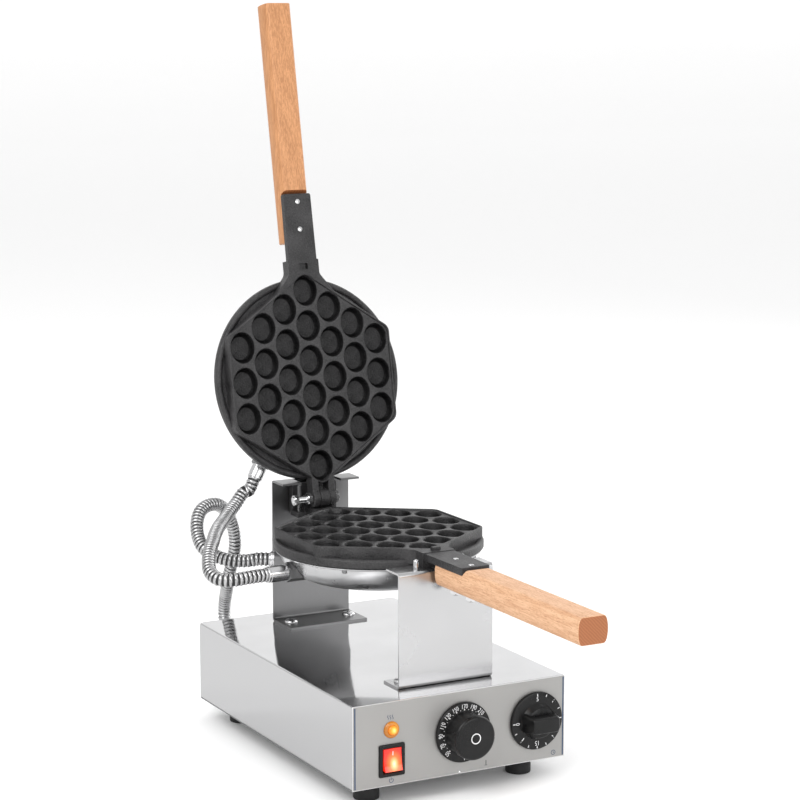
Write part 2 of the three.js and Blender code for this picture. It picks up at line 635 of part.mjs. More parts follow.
// A hose gland on the side of a cover: a nut that seats on the curve and a ferrule for the hose
function makeIronGland(spec) {
  const place = [0, 0, gland.depth];
  const [rim, ...wall] = coverProfile(gap);
  const low = iron.thickness - over;
  const high = iron.thickness + cover.depth + over;
  const coverTool = turned('z', [[0, low], [rim[0], low], ...wall, [0, high]], [0, 0, 0], sides.disc);
  const nut = rod('x', gland.nut, gland.inner, spec.nutEnd, place, 6).rotate([0, 0, spec.turn]);
  const tube = join(
    rod('x', gland.body, gland.inner, spec.nutEnd, place, sides.medium),
    rod('x', gland.ferrule, spec.nutEnd - gap, spec.end, place, sides.medium),
  );
  const bore = rod('x', gland.bore, gland.inner - over, spec.end + over, place, sides.small);
  return join(cut(nut, coverTool, bore.rotate([0, 0, spec.turn])), cut(tube, bore).rotate([0, 0, spec.turn]));
}

function glandHole({ turn }) {
  return rod('x', gland.body + gap, gland.inner, iron.discRadius, [0, 0, gland.depth], sides.medium)
    .rotate([0, 0, turn]);
}

function buildIron(parent, prefix, plate, holes) {
  piece(parent, `${prefix}_plate`, plate, 'cast');
  piece(parent, `${prefix}_cover`, makeCover(holes), 'polished');
  piece(parent, `${prefix}_element`, makeElement(), 'grey_steel');
  piece(parent, `${prefix}_handle`, makeHandle(), 'beech');
  for (const [end, s] of [['near', tang.boltNear], ['far', tang.boltFar]]) {
    piece(parent, `${prefix}_handle_bolt_${end}`, makeHandleBolt(s), 'zinc');
    piece(parent, `${prefix}_handle_nut_${end}`, makeHandleNut(s), 'zinc');
  }
}

const lowerIron = new THREE.Group();
lowerIron.rotation.x = Math.PI;
lowerIron.position.set(...ironCentre);
machine.add(lowerIron);
buildIron(lowerIron, 'lower', makeLowerPlate(), [glandHole(linkLower), glandHole(supplyIron)]);
piece(lowerIron, 'link_gland_lower', makeIronGland(linkLower), 'zinc');
piece(lowerIron, 'supply_gland_iron', makeIronGland(supplyIron), 'zinc');

// The upper iron turns with the hinge group; closed, its mating face lies on the lower one
const lid = new THREE.Group();
lid.position.set(...hingePlace);
lid.rotation.x = -THREE.MathUtils.degToRad(openAngle);
machine.add(lid);
const upperIron = new THREE.Group();
upperIron.rotation.z = Math.PI;
upperIron.position.set(0, -hinge.back, iron.closedGap - hinge.rise);
lid.add(upperIron);
buildIron(upperIron, 'upper', makeUpperPlate(), [glandHole(linkUpper)]);
piece(upperIron, 'link_gland_upper', makeIronGland(linkUpper), 'zinc');

// Controls
function makeSwitchHousing() {
  const z = boxBottom + rocker.z;
  const at = (w, h, y0, y1) => slab([rocker.x - w, y0, z - h], [rocker.x + w, y1, z + h]);
  const face = -overlay.thickness - gap / 2;
  const w = rocker.width / 2;
  const h = rocker.height / 2;
  const body = join(at(w, h, face - rocker.lip, face), at(w - rocker.bezel, h - rocker.bezel, face - gap, rocker.depth));
  const well = at(rocker.paddleWidth / 2 + gap, rocker.paddleHeight / 2 + rocker.clearance,
    face - rocker.lip - over, rocker.floor);
  return cut(body, well);
}

function makePaddle() {
  const h = rocker.paddleHeight / 2;
  const front = -overlay.thickness - rocker.lip;
  const outline = [
    [front - rocker.paddleOut, h], [front - rocker.paddleMid, 0], [front - rocker.paddleOut, -h],
    [rocker.paddleBack, rocker.backInset - h], [rocker.paddleBack, h - rocker.backInset],
  ];
  return prismX(outline.map(([y, z]) => [y - rocker.axisY, z]), -rocker.paddleWidth / 2, rocker.paddleWidth / 2);
}

function makeLampBezel() {
  const face = -overlay.thickness - gap / 2;
  return turned('y', [
    [lamp.radius - lamp.wall, face - lamp.proud], [lamp.bezel - lamp.wall, face - lamp.proud],
    [lamp.bezel, face - lamp.wall], [lamp.bezel, face], [lamp.radius, face], [lamp.radius, lamp.depth],
    [lamp.radius - lamp.wall, lamp.depth], [lamp.radius - lamp.wall, face - lamp.proud],
  ], [lamp.x, 0, boxBottom + lamp.z], sides.medium);
}

function makeLampLens() {
  const r = lamp.radius - lamp.wall - gap;
  const front = -overlay.thickness - gap / 2 - lamp.proud;
  const dome = Array.from({ length: domeSteps + 1 }, (_, i) => {
    const a = (Math.PI / 2) * (i / domeSteps);
    return [r * Math.sin(a), front - (lamp.dome + front) * Math.cos(a)];
  });
  return turned('y', [...dome, [r, lamp.depth - gap], [0, lamp.depth - gap]],
    [lamp.x, 0, boxBottom + lamp.z], sides.medium);
}

const knobBack = -overlay.thickness - knob.stand;
const skirtFront = knobBack - knob.skirtDepth;
const socketEnd = knobBack - control.socket;

function makeControlBody(spec) {
  const y0 = base.wall + gap;
  const z = boxBottom + spec.z;
  const bore = rod('y', control.shaft + gap, -overlay.thickness - over, control.seat + gap, [spec.x, 0, z], sides.small);
  return cut(join(
    slab([spec.x - control.width / 2, y0, z - control.height / 2],
      [spec.x + control.width / 2, y0 + control.depth, z + control.height / 2]),
    rod('y', control.neck, -overlay.thickness, y0 + gap, [spec.x, 0, z], sides.medium),
  ), bore);
}

function makeThermostatKnob() {
  const tip = -thermo.proud;
  return turned('y', [
    [0, tip], [thermo.capTip - knob.edge, tip], [thermo.capTip, tip + knob.chamfer],
    [thermo.capRoot, skirtFront - knob.chamfer], [thermo.capRoot, skirtFront],
    [thermo.skirt, skirtFront + knob.chamfer], [thermo.skirt, knobBack],
    [control.shaft + gap, knobBack], [control.shaft + gap, socketEnd], [0, socketEnd],
  ], [thermo.x, 0, boxBottom + thermo.z], sides.large);
}

function makeTimerKnob() {
  const skirt = turned('y', [
    [0, skirtFront - timer.hubDepth], [timer.hubTip, skirtFront - timer.hubDepth], [timer.hub, skirtFront],
    [timer.skirt - knob.chamfer, skirtFront], [timer.skirt, skirtFront + knob.chamfer], [timer.skirt, knobBack],
    [0, knobBack],
  ], [0, 0, 0], sides.large);
  const ring = (length, height, y) => rounded([
    [-length / 2, -height / 2], [length / 2, -height / 2], [length / 2, height / 2], [-length / 2, height / 2],
  ], bar.corner, 3).map(([x, z]) => [x, y, z]);
  const grip = loft([
    ring(bar.rootLength, bar.rootHeight, skirtFront + gap),
    ring(bar.tipLength, bar.tipHeight, knob.chamfer - timer.proud),
    ring(bar.tipLength - knob.edge, bar.tipHeight - knob.edge, -timer.proud),
  ]);
  const socket = rod('y', control.shaft + gap, socketEnd, knobBack + over, [0, 0, 0], sides.small);
  return cut(join(skirt, grip), socket).translate([timer.x, 0, boxBottom + timer.z]);
}

function makeShaft(spec) {
  return rod('y', control.shaft, socketEnd + gap, control.seat, [spec.x, 0, boxBottom + spec.z], sides.small);
}

piece(stand, 'switch_housing', makeSwitchHousing(), 'black');
piece(stand, 'lamp_bezel', makeLampBezel(), 'amber');
piece(stand, 'lamp_lens', makeLampLens(), 'amber');
piece(stand, 'thermostat_body', makeControlBody(thermo), 'grey_steel');
piece(stand, 'timer_body', makeControlBody(timer), 'grey_steel');
piece(stand, 'thermostat_knob', makeThermostatKnob(), 'black');
piece(stand, 'thermostat_shaft', makeShaft(thermo), 'zinc');
piece(stand, 'timer_knob', makeTimerKnob(), 'black');
piece(stand, 'timer_shaft', makeShaft(timer), 'zinc');

const paddleAxis = new THREE.Group();
paddleAxis.position.set(rocker.x, rocker.axisY, boxBottom + rocker.z);
paddleAxis.rotation.x = -THREE.MathUtils.degToRad(rocker.tilt);
stand.add(paddleAxis);
piece(paddleAxis, 'power_rocker', makePaddle(), 'red');

// Wiring inside the base, and the two glands on its back
function makeTerminalBlock() {
  const x0 = terminal.x - terminal.width / 2;
  const z0 = boxBottom + base.wall + gap;
  const slots = [];
  for (let i = 0; i < terminal.slots; i += 1) {
    const x = x0 + terminal.width * ((i + 0.5) / terminal.slots);
    slots.push(slab([x - terminal.slot / 2, terminal.y - over, z0 + terminal.height - terminal.slotDepth],
      [x + terminal.slot / 2, terminal.y + terminal.depth + over, z0 + terminal.height + over]));
  }
  const body = slab([x0, terminal.y, z0], [x0 + terminal.width, terminal.y + terminal.depth, z0 + terminal.height]);
  return cut(body, ...slots);
}

function makeCordGland() {
  const y0 = base.depth - base.wall;
  const seat = base.depth + gap / 2;
  const place = [cordGland.x, 0, boxBottom + cordGland.z];
  const body = join(
    rod('y', cordGland.body, y0 - cordGland.inside, seat + gap, place, sides.medium),
    rod('y', cordGland.nut, seat, seat + cordGland.nutDepth, place, 6),
    rod('y', cordGland.cap, seat + cordGland.nutDepth - gap, base.depth + cordGland.out, place, sides.medium, cordGland.tip),
  );
  return cut(body, rod('y', cordGland.bore, y0 - cordGland.inside - over, base.depth + cordGland.out + over,
    place, sides.small));
}

function makeSupplyGland() {
  const y0 = base.depth - base.wall;
  const seat = base.depth + gap / 2;
  const end = base.depth + supplyBase.end;
  const place = [supplyBase.x, 0, supplyBase.z];
  const body = join(
    rod('y', gland.body, y0 - cordGland.inside, seat + gap, place, sides.medium),
    rod('y', gland.nut, seat, seat + supplyBase.nutDepth, place, 6),
    rod('y', gland.ferrule, seat + supplyBase.nutDepth - gap, end, place, sides.medium),
  );
  return cut(body, rod('y', gland.bore, y0 - cordGland.inside - over, end + over, place, sides.small));
}

piece(stand, 'terminal_block', makeTerminalBlock(), 'ceramic');
piece(stand, 'cord_gland', makeCordGland(), 'black');
piece(stand, 'supply_gland_base', makeSupplyGland(), 'zinc');

// Hoses: strip-wound conduit, ribbed outside and bored through, straight for a diameter at both ends
machine.updateMatrixWorld(true);

function glandMouth(group, { turn, end }) {
  const a = THREE.MathUtils.degToRad(turn);
  const out = new THREE.Vector3(Math.cos(a), Math.sin(a), 0);
  const mouth = out.clone().multiplyScalar(end + gap).add(new THREE.Vector3(0, 0, gland.depth));
  return { at: mouth.applyMatrix4(group.matrixWorld), out: out.transformDirection(group.matrixWorld) };
}

function hoseCurve(start, route, end) {
  const straight = 2 * hose.crest;
  const points = [
    start.at, start.at.clone().addScaledVector(start.out, straight),
    ...route.map((p) => new THREE.Vector3(...p)),
    end.at.clone().addScaledVector(end.out, straight), end.at,
  ];
  return new THREE.CatmullRomCurve3(points, false, 'centripetal');
}

function makeHose(curve) {
  const length = curve.getLength();
  const ribs = Math.round(length / hose.pitch);
  const frames = curve.computeFrenetFrames(2 * ribs, false);
  const vertices = [];
  const ring = (step, radius) => {
    const centre = curve.getPointAt(step / (2 * ribs));
    for (let i = 0; i < sides.ring; i += 1) {
      const a = (2 * Math.PI * i) / sides.ring;
      const p = centre.clone()
        .addScaledVector(frames.normals[step], radius * Math.cos(a))
        .addScaledVector(frames.binormals[step], radius * Math.sin(a));
      vertices.push(p.x, p.y, p.z);
    }
    return vertices.length / 3 - sides.ring;
  };
  const rings = [];
  for (let step = 0; step <= 2 * ribs; step += 1) rings.push(ring(step, step % 2 ? hose.crest : hose.root));
  for (let step = 2 * ribs; step > 0; step -= 2 * boreRibs) rings.push(ring(step, hose.bore));
  rings.push(ring(0, hose.bore));
  const index = [];
  rings.forEach((a, r) => {
    const b = rings[(r + 1) % rings.length];
    for (let i = 0; i < sides.ring; i += 1) {
      const j = (i + 1) % sides.ring;
      index.push(a + i, a + j, b + i, a + j, b + j, b + i);
    }
  });
  const g = new THREE.BufferGeometry();
  g.setAttribute('position', new THREE.BufferAttribute(new Float32Array(vertices), 3));
  g.setIndex(index);
  return solid(g);
}

const baseMouth = {
  at: new THREE.Vector3(supplyBase.x, base.depth + supplyBase.end + gap, supplyBase.z), out: new THREE.Vector3(0, 1, 0),
};
const linkCurve = hoseCurve(glandMouth(upperIron, linkUpper), linkRoute, glandMouth(lowerIron, linkLower));
const supplyCurve = hoseCurve(glandMouth(lowerIron, supplyIron), supplyRoute, baseMouth);
piece(stand, 'link_hose', makeHose(linkCurve), 'zinc');
piece(stand, 'supply_hose', makeHose(supplyCurve), 'zinc');

// Origin: on the ground, under the middle of the machine without its two hoses
const hoses = ['link_hose', 'supply_hose'];
machine.updateMatrixWorld(true);
const bounds = new THREE.Box3();
machine.traverse((part) => {
  if (part.isMesh && !hoses.includes(part.name)) bounds.expandByObject(part, true);
});
const middle = bounds.getCenter(new THREE.Vector3());
machine.position.set(-middle.x, -middle.y, -bounds.min.z);

console.log(machine.position.toArray().map((v) => v.toFixed(4)).join(' '));
console.log(`link hose ${linkCurve.getLength().toFixed(1)} mm, supply hose ${supplyCurve.getLength().toFixed(1)} mm`);

export default machine;
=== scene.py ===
# %% [markdown]
# # A bubble waffle maker, dressed piece by piece
# The rigid model of the machine is loaded first and never moved. Every finer piece made below
# replaces one of its solids in the same place, so that the hinge and the knobs keep working.

# %% Load the machine
import math

import bmesh
import bpy
from mathutils import Matrix, Vector


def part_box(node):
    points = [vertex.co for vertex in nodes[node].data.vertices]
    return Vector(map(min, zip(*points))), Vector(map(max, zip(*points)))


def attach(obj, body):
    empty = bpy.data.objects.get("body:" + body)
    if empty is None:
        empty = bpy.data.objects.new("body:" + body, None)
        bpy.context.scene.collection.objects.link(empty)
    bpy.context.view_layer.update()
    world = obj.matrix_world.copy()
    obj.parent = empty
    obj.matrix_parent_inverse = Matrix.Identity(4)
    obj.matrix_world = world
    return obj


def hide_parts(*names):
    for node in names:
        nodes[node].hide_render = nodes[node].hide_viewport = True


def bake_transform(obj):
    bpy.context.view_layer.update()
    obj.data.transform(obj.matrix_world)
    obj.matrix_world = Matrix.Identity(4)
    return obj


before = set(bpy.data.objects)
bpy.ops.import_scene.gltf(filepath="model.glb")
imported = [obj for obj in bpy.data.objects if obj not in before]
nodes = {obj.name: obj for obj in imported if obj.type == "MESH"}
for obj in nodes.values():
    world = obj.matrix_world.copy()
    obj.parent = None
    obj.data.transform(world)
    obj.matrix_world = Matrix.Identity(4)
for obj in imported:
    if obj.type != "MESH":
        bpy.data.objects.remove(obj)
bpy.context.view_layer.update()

# %% [markdown]
# Workshop drawings are in millimetres from the middle of the front panel's foot line, while Blender
# works in metres from the machine's own origin. One matrix turns the first into the second, and
# each iron has a drawing frame of its own: X across, Y towards its handle, Z away from its face.

# %% Drawing frames
MM = 0.001
panel_low, panel_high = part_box("front_panel")
origin = Vector(((panel_low.x + panel_high.x) / 2, panel_low.y, 0))
machine = Matrix.Translation(origin) @ Matrix.Scale(MM, 4)

plate_y, mating_z = 173.0, 236.65
hinge_y, hinge_z, open_angle = 302.6, 243.65, 101.1
closed_gap, hinge_rise = 0.6, 7.0
box_floor, box_top = 21.0, 105.5


def turn(axis, degrees):
    return Matrix.Rotation(math.radians(degrees), 4, axis)


def shift(x=0, y=0, z=0):
    return Matrix.Translation((x, y, z))


lower_iron = machine @ shift(0, plate_y, mating_z) @ turn("X", 180)
lid_hinge = machine @ shift(0, hinge_y, hinge_z) @ turn("X", -open_angle)
upper_iron = lid_hinge @ shift(0, plate_y - hinge_y, closed_gap - hinge_rise) @ turn("Z", 180)
irons = {"lower": {"place": lower_iron, "body": "base"},
         "upper": {"place": upper_iron, "body": "upper_iron"}}
LAY_X, LAY_Y = turn("Y", 90), turn("X", -90)
UPRIGHT = Matrix(((1, 0, 0, 0), (0, 0, 1, 0), (0, 1, 0, 0), (0, 0, 0, 1)))
SIDEWAYS = Matrix(((0, 0, 1, 0), (1, 0, 0, 0), (0, 1, 0, 0), (0, 0, 0, 1)))
print("machine origin at", [round(v, 4) for v in origin])

# %% [markdown]
# ## Camera
# A product photograph is taken with a long lens from a few metres away, which keeps upright lines
# upright. The camera stands to the left of the machine, a little above the irons.

# %% Camera
camera_place, camera_down, camera_turn = (-1125.82, -1957.81, 764.27), 9.31, -28.38


def added(name, data):
    """A new object in the scene."""
    obj = bpy.data.objects.new(name, data)
    bpy.context.scene.collection.objects.link(obj)
    return obj


camera_data = bpy.data.cameras.new("camera")
camera_data.sensor_width = 36
camera_data.lens = 107.18
camera = added("camera", camera_data)
camera.location = machine @ Vector(camera_place)
camera.rotation_euler = (math.radians(90 - camera_down), 0, math.radians(camera_turn))
bpy.context.scene.camera = camera
print("camera", [round(v, 3) for v in camera.location])

# %% [markdown]
# ## Making solids
# Most pieces here are turned, extruded or lofted, then cut and joined, as in a workshop. Each helper
# returns a plain mesh in drawing millimetres.

# %% Turned and lofted meshes


def outward(mesh):
    """Welds the mesh and turns its faces outwards."""
    form = bmesh.new()
    form.from_mesh(mesh)
    bmesh.ops.remove_doubles(form, verts=form.verts, dist=1e-5)
    bmesh.ops.recalc_face_normals(form, faces=form.faces)
    form.to_mesh(mesh)
    form.free()
    return mesh


def mesh_of(points, faces):
    mesh = bpy.data.meshes.new("form")
    mesh.from_pydata([tuple(p) for p in points], [], faces)
    mesh.validate()
    return outward(mesh)


def lofted(rings):
    """A skin over rings with equally many points, closed at both ends."""
    count = len(rings[0])
    points = [p for ring in rings for p in ring]
    faces = []
    for a in range(0, len(points) - count, count):
        for i in range(count):
            j = (i + 1) % count
            faces.append((a + i, a + j, a + count + j, a + count + i))
    faces.append(tuple(range(count)))
    faces.append(tuple(reversed(range(len(points) - count, len(points)))))
    return mesh_of(points, faces)


def turned(profile, steps=96, closed=False):
    """Spins (radius, height) points round Z. They start and end on the axis unless closed."""
    points, faces, rows = [], [], []
    for radius, height in profile:
        if radius < 1e-6:
            rows.append([len(points)] * steps)
            points.append((0, 0, height))
            continue
        rows.append(list(range(len(points), len(points) + steps)))
        for i in range(steps):
            a = 2 * math.pi * i / steps
            points.append((radius * math.cos(a), radius * math.sin(a), height))
    for r in range(len(rows) if closed else len(rows) - 1):
        low, high = rows[r], rows[(r + 1) % len(rows)]
        for i in range(steps):
            j = (i + 1) % steps
            face = list(dict.fromkeys((low[i], low[j], high[j], high[i])))
            if len(face) > 2:
                faces.append(tuple(face))
    return mesh_of(points, faces)


def moved(mesh, *steps):
    for step in steps:
        mesh.transform(step)
    return outward(mesh) if any(step.determinant() < 0 for step in steps) else mesh


def rod(radius, low, high, sides, *steps, edge=0.0):
    """A round bar along Z, then moved; edge chamfers both its ends."""
    profile = [(0, low), (radius, low), (radius, high), (0, high)]
    if edge:
        profile[1:3] = [(radius - edge, low), (radius, low + edge), (radius, high - edge), (radius - edge, high)]
    return moved(turned(profile, sides), *steps)


print("turning helpers ready")

# %% [markdown]
# Flat outlines come next: their corners can be cut round, they can be moved inwards, and a stack of
# them makes a plate with chamfered rims.

# %% Outlines and plates


def rounded(points, radius, steps=6, chosen=None):
    """A closed outline with its chosen corners cut round."""
    out = []
    for i, point in enumerate(points):
        here = Vector(point)
        if chosen is not None and i not in chosen:
            out.append(tuple(here))
            continue
        before = (Vector(points[i - 1]) - here).normalized()
        after = (Vector(points[(i + 1) % len(points)]) - here).normalized()
        half = before.angle(after) / 2
        reach = radius / math.tan(half)
        centre = here + (before + after).normalized() * (radius / math.sin(half))
        start, end = here + before * reach, here + after * reach
        sweep = (start - centre).angle_signed(end - centre)
        for k in range(steps + 1):
            spoke = (start - centre).to_3d()
            spoke.rotate(Matrix.Rotation(-sweep * k / steps, 3, "Z"))
            out.append(tuple(centre + spoke.to_2d()))
    return out


def inset(outline, amount):
    """The outline moved inwards by amount, corner for corner."""
    points = [Vector(p) for p in outline]
    area = sum(a.x * b.y - b.x * a.y for a, b in zip(points, points[1:] + points[:1]))
    side = 1 if area > 0 else -1
    out = []
    for i, here in enumerate(points):
        before, after = here - points[i - 1], points[(i + 1) % len(points)] - here
        n1 = Vector((-before.y, before.x)).normalized() * side
        n2 = Vector((-after.y, after.x)).normalized() * side
        lean = n1 + n2
        out.append(tuple(here + lean * (amount * 2 / max(lean.length_squared, 0.5))))
    return out


def stacked(*rings):
    """Outlines, each with its height, skinned into one solid."""
    return lofted([[(x, y, z) for x, y in outline] for outline, z in rings])


def extruded(outline, low, high, edge=0.0):
    """An outline pushed along Z, with both rims chamfered by edge when it is given."""
    if not edge:
        return stacked((outline, low), (outline, high))
    inner = inset(outline, edge)
    return stacked((inner, low), (outline, low + edge), (outline, high - edge), (inner, high))


def rectangle(x0, y0, x1, y1):
    return [(x0, y0), (x1, y0), (x1, y1), (x0, y1)]


def centred(x, y):
    return rectangle(-x, -y, x, y)


print("plate helpers ready")

# %% [markdown]
# Cutting and joining need objects for a moment, so the helper makes two, reads the evaluated result
# and clears both away again. The boolean modifier with the manifold solver always gives closed solids.

# %% Cutting and joining
SMOOTH_ANGLE = math.radians(35)


def final_mesh(obj):
    """The object's mesh after its modifiers."""
    bpy.context.view_layer.update()
    return bpy.data.meshes.new_from_object(obj.evaluated_get(bpy.context.evaluated_depsgraph_get()))


def combined(mesh, others, operation):
    for other in others:
        target, tool = added("target", mesh), added("tool", other)
        step = target.modifiers.new("cut", "BOOLEAN")
        step.operation = operation
        step.solver = "MANIFOLD"
        step.object = tool
        mesh = final_mesh(target)
        for each in (target, tool):
            bpy.data.objects.remove(each)
    return mesh


def cut(mesh, *tools):
    return combined(mesh, tools, "DIFFERENCE")


def joined(mesh, *others):
    return combined(mesh, others, "UNION")


def bundle(*meshes):
    """Several closed meshes in one, not cut into each other."""
    form = bmesh.new()
    for mesh in meshes:
        form.from_mesh(mesh)
    out = bpy.data.meshes.new("bundle")
    form.to_mesh(out)
    form.free()
    return out


def piece(name, mesh, material, slot, *stands_for, place=machine, body="base"):
    """Places a finished mesh, gives it its material and its body, and hides the solids it stands for."""
    mesh.transform(place)
    mesh.name = name
    mesh.materials.clear()
    mesh.materials.append(material)
    mesh.polygons.foreach_set("material_index", [0] * len(mesh.polygons))
    obj = added(name, mesh)
    mesh.shade_smooth()
    mesh.set_sharp_from_angle(angle=SMOOTH_ANGLE)
    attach(obj, body)
    if stands_for:
        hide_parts(*stands_for)
    return obj


print("cutting helpers ready")

# %% [markdown]
# ## Shader groups
# Four effects turn up in several finishes: the fine grain of a casting, the drawn lines and soft
# clouding of brushed sheet, the faint texture of moulded plastic, and wood grain. Each is a node
# group with named inputs. The small helpers come first.

# %% Node helpers
VECTOR, FLOAT, COLOUR = "NodeSocketVector", "NodeSocketFloat", "NodeSocketColor"
GEOMETRY, MATERIAL, WHOLE = "NodeSocketGeometry", "NodeSocketMaterial", "NodeSocketInt"
SURFACE = [("Dark", COLOUR, (0.1, 0.1, 0.1, 1)), ("Light", COLOUR, (0.2, 0.2, 0.2, 1)),
           ("Smooth", FLOAT, 0.1), ("Rough", FLOAT, 0.3)]
RESULT = [("Color", COLOUR), ("Roughness", FLOAT), ("Height", FLOAT)]


def group(name, inputs, outputs, kind="ShaderNodeTree"):
    tree = bpy.data.node_groups.new(name, kind)
    for label, socket_type, default in inputs:
        socket = tree.interface.new_socket(label, in_out="INPUT", socket_type=socket_type)
        if default is not None:
            socket.default_value = default
    for label, socket_type in outputs:
        tree.interface.new_socket(label, in_out="OUTPUT", socket_type=socket_type)
    return tree, tree.nodes.new("NodeGroupInput").outputs, tree.nodes.new("NodeGroupOutput")


def node(tree, kind, links=(), **settings):
    """A new node; each link is a label with a socket to join or a value to set."""
    made = tree.nodes.new(kind)
    for key, value in settings.items():
        setattr(made, key, value)
    for label, source in links:
        if isinstance(source, bpy.types.NodeSocket):
            tree.links.new(source, made.inputs[label])
        else:
            made.inputs[label].default_value = source
    return made


def maths(tree, operation, a, b=0.0):
    return node(tree, "ShaderNodeMath", [(0, a), (1, b)], operation=operation).outputs[0]


def mixed(tree, amount, dark, light):
    return node(tree, "ShaderNodeMix", [(0, amount), (6, dark), (7, light)], data_type="RGBA").outputs[2]


def spread(tree, value, low, high, start=0.3, end=0.7):
    return node(tree, "ShaderNodeMapRange", [("Value", value), ("From Min", start), ("From Max", end),
                                             ("To Min", low), ("To Max", high)]).outputs["Result"]


def stretched(tree, place, factors):
    return node(tree, "ShaderNodeVectorMath", [(0, place), (1, factors)], operation="MULTIPLY").outputs[0]


def noise(tree, place, scale, detail):
    return node(tree, "ShaderNodeTexNoise",
                [("Vector", place), ("Scale", scale), ("Detail", detail)]).outputs["Fac"]


def waves(tree, place, scale, distortion, detail, detail_scale=1.0):
    return node(tree, "ShaderNodeTexWave", [
        ("Vector", place), ("Scale", scale), ("Distortion", distortion), ("Detail", detail),
        ("Detail Scale", detail_scale)], wave_type="BANDS", bands_direction="DIAGONAL").outputs["Fac"]


def object_place(tree):
    return node(tree, "ShaderNodeTexCoord").outputs["Object"]


print("node helpers ready")

# %% [markdown]
# Every group mixes a dark and a light tone, varies the roughness between two limits and returns a
# height for the relief.

# %% Shader groups


def surface_group(name, *extra):
    return group(name, [("Place", VECTOR, None), *extra, *SURFACE], RESULT)


def two_tone(tree, given, amount):
    return mixed(tree, amount, given["Dark"], given["Light"])


def deliver(tree, given, result, tone, rough_by, height):
    rough = spread(tree, rough_by, given["Smooth"], given["Rough"])
    for label, source in (("Color", tone), ("Roughness", rough), ("Height", height)):
        tree.links.new(source, result.inputs[label])
    return tree


def casting_grain():
    """Sand-cast aluminium under a non-stick coat: a fine even grain over soft patches of wear."""
    tree, given, result = surface_group("casting grain", ("Size", FLOAT, 1500.0))
    place, size = given["Place"], given["Size"]
    fine = noise(tree, place, size, 3.0)
    pits = node(tree, "ShaderNodeTexVoronoi", [("Vector", place), ("Scale", size)]).outputs["Distance"]
    cloud = noise(tree, place, 42.0, 5.0)
    amount = spread(tree, maths(tree, "ADD", cloud, fine), 0.0, 1.0, 0.75, 1.25)
    return deliver(tree, given, result, two_tone(tree, given, amount), cloud, maths(tree, "ADD", fine, pits))


def drawn_lines():
    """Rolled and brushed sheet: hair lines one way, and the soft clouding that wiping leaves."""
    tree, given, result = surface_group("drawn lines", ("Stretch", VECTOR, (6.0, 900.0, 900.0)))
    lines = noise(tree, stretched(tree, given["Place"], given["Stretch"]), 1.0, 5.0)
    cloud = noise(tree, given["Place"], 13.0, 5.0)
    both = maths(tree, "ADD", spread(tree, lines, -0.02, 0.02), cloud)
    return deliver(tree, given, result, two_tone(tree, given, spread(tree, both, 0.0, 1.0)), both, lines)


def moulded():
    """Plastic and rubber: a faint mould texture and duller patches where fingers touch."""
    tree, given, result = surface_group("moulded", ("Size", FLOAT, 900.0))
    fine = noise(tree, given["Place"], given["Size"], 2.0)
    cloud = noise(tree, given["Place"], 60.0, 4.0)
    return deliver(tree, given, result, two_tone(tree, given, spread(tree, cloud, 0.0, 1.0)), cloud, fine)


def beech_grain():
    """Steamed beech: bands and fibres along the stick and the short darker flecks of its rays."""
    tree, given, result = surface_group(
        "beech grain", ("Along", VECTOR, (1.0, 0.06, 1.0)), ("Flecks", VECTOR, None))
    place = stretched(tree, given["Place"], given["Along"])
    bands = spread(tree, waves(tree, place, 42.0, 9.0, 4.0, 1.4), 0.0, 0.3, 0.0, 1.0)
    fibres = spread(tree, noise(tree, place, 800.0, 3.0), 0.0, 0.75, 0.4, 0.6)
    tone = two_tone(tree, given, maths(tree, "ADD", bands, fibres))
    flecks = noise(tree, stretched(tree, given["Place"], given["Flecks"]), 1.0, 3.0)
    mask = spread(tree, flecks, 0.0, 0.5, 0.55, 0.66)
    return deliver(tree, given, result, mixed(tree, mask, tone, (0.30, 0.12, 0.042, 1.0)), flecks, flecks)


groups = {"cast": casting_grain(), "drawn": drawn_lines(), "moulded": moulded(), "beech": beech_grain()}
print("shader groups:", ", ".join(groups))

# %% [markdown]
# ## Finishes
# A finish is one of those groups with its own colours, roughness range and depth of relief. The
# metals differ mainly in how rough they are: the box is polished, the bowls and brackets are
# duller, and the fasteners are bright zinc.

# %% Finishes


def finish(name, kind, dark, light, smooth, rough, relief, metallic=0.0, coat=0.0, specular=0.5, **extra):
    material = bpy.data.materials.new(name)
    material.use_nodes = True
    tree = material.node_tree
    surface = tree.nodes["Principled BSDF"]
    effect = node(tree, "ShaderNodeGroup", node_tree=groups[kind])
    tree.links.new(object_place(tree), effect.inputs["Place"])
    values = {"Dark": (*dark, 1), "Light": (*light, 1), "Smooth": smooth, "Rough": rough, **extra}
    for label, value in values.items():
        effect.inputs[label].default_value = value
    bump = node(tree, "ShaderNodeBump", [("Height", effect.outputs["Height"]), ("Distance", relief * MM)])
    tree.links.new(effect.outputs["Color"], surface.inputs["Base Color"])
    tree.links.new(effect.outputs["Roughness"], surface.inputs["Roughness"])
    tree.links.new(bump.outputs["Normal"], surface.inputs["Normal"])
    surface.inputs["Metallic"].default_value = metallic
    surface.inputs["Coat Weight"].default_value = coat
    surface.inputs["Specular IOR Level"].default_value = specular
    return material


def grey(level):
    return (level, level, level * 1.01)


def metal(name, kind, dark, light, *surface, **extra):
    return finish(name, kind, grey(dark), grey(light), *surface, 1.0, **extra)


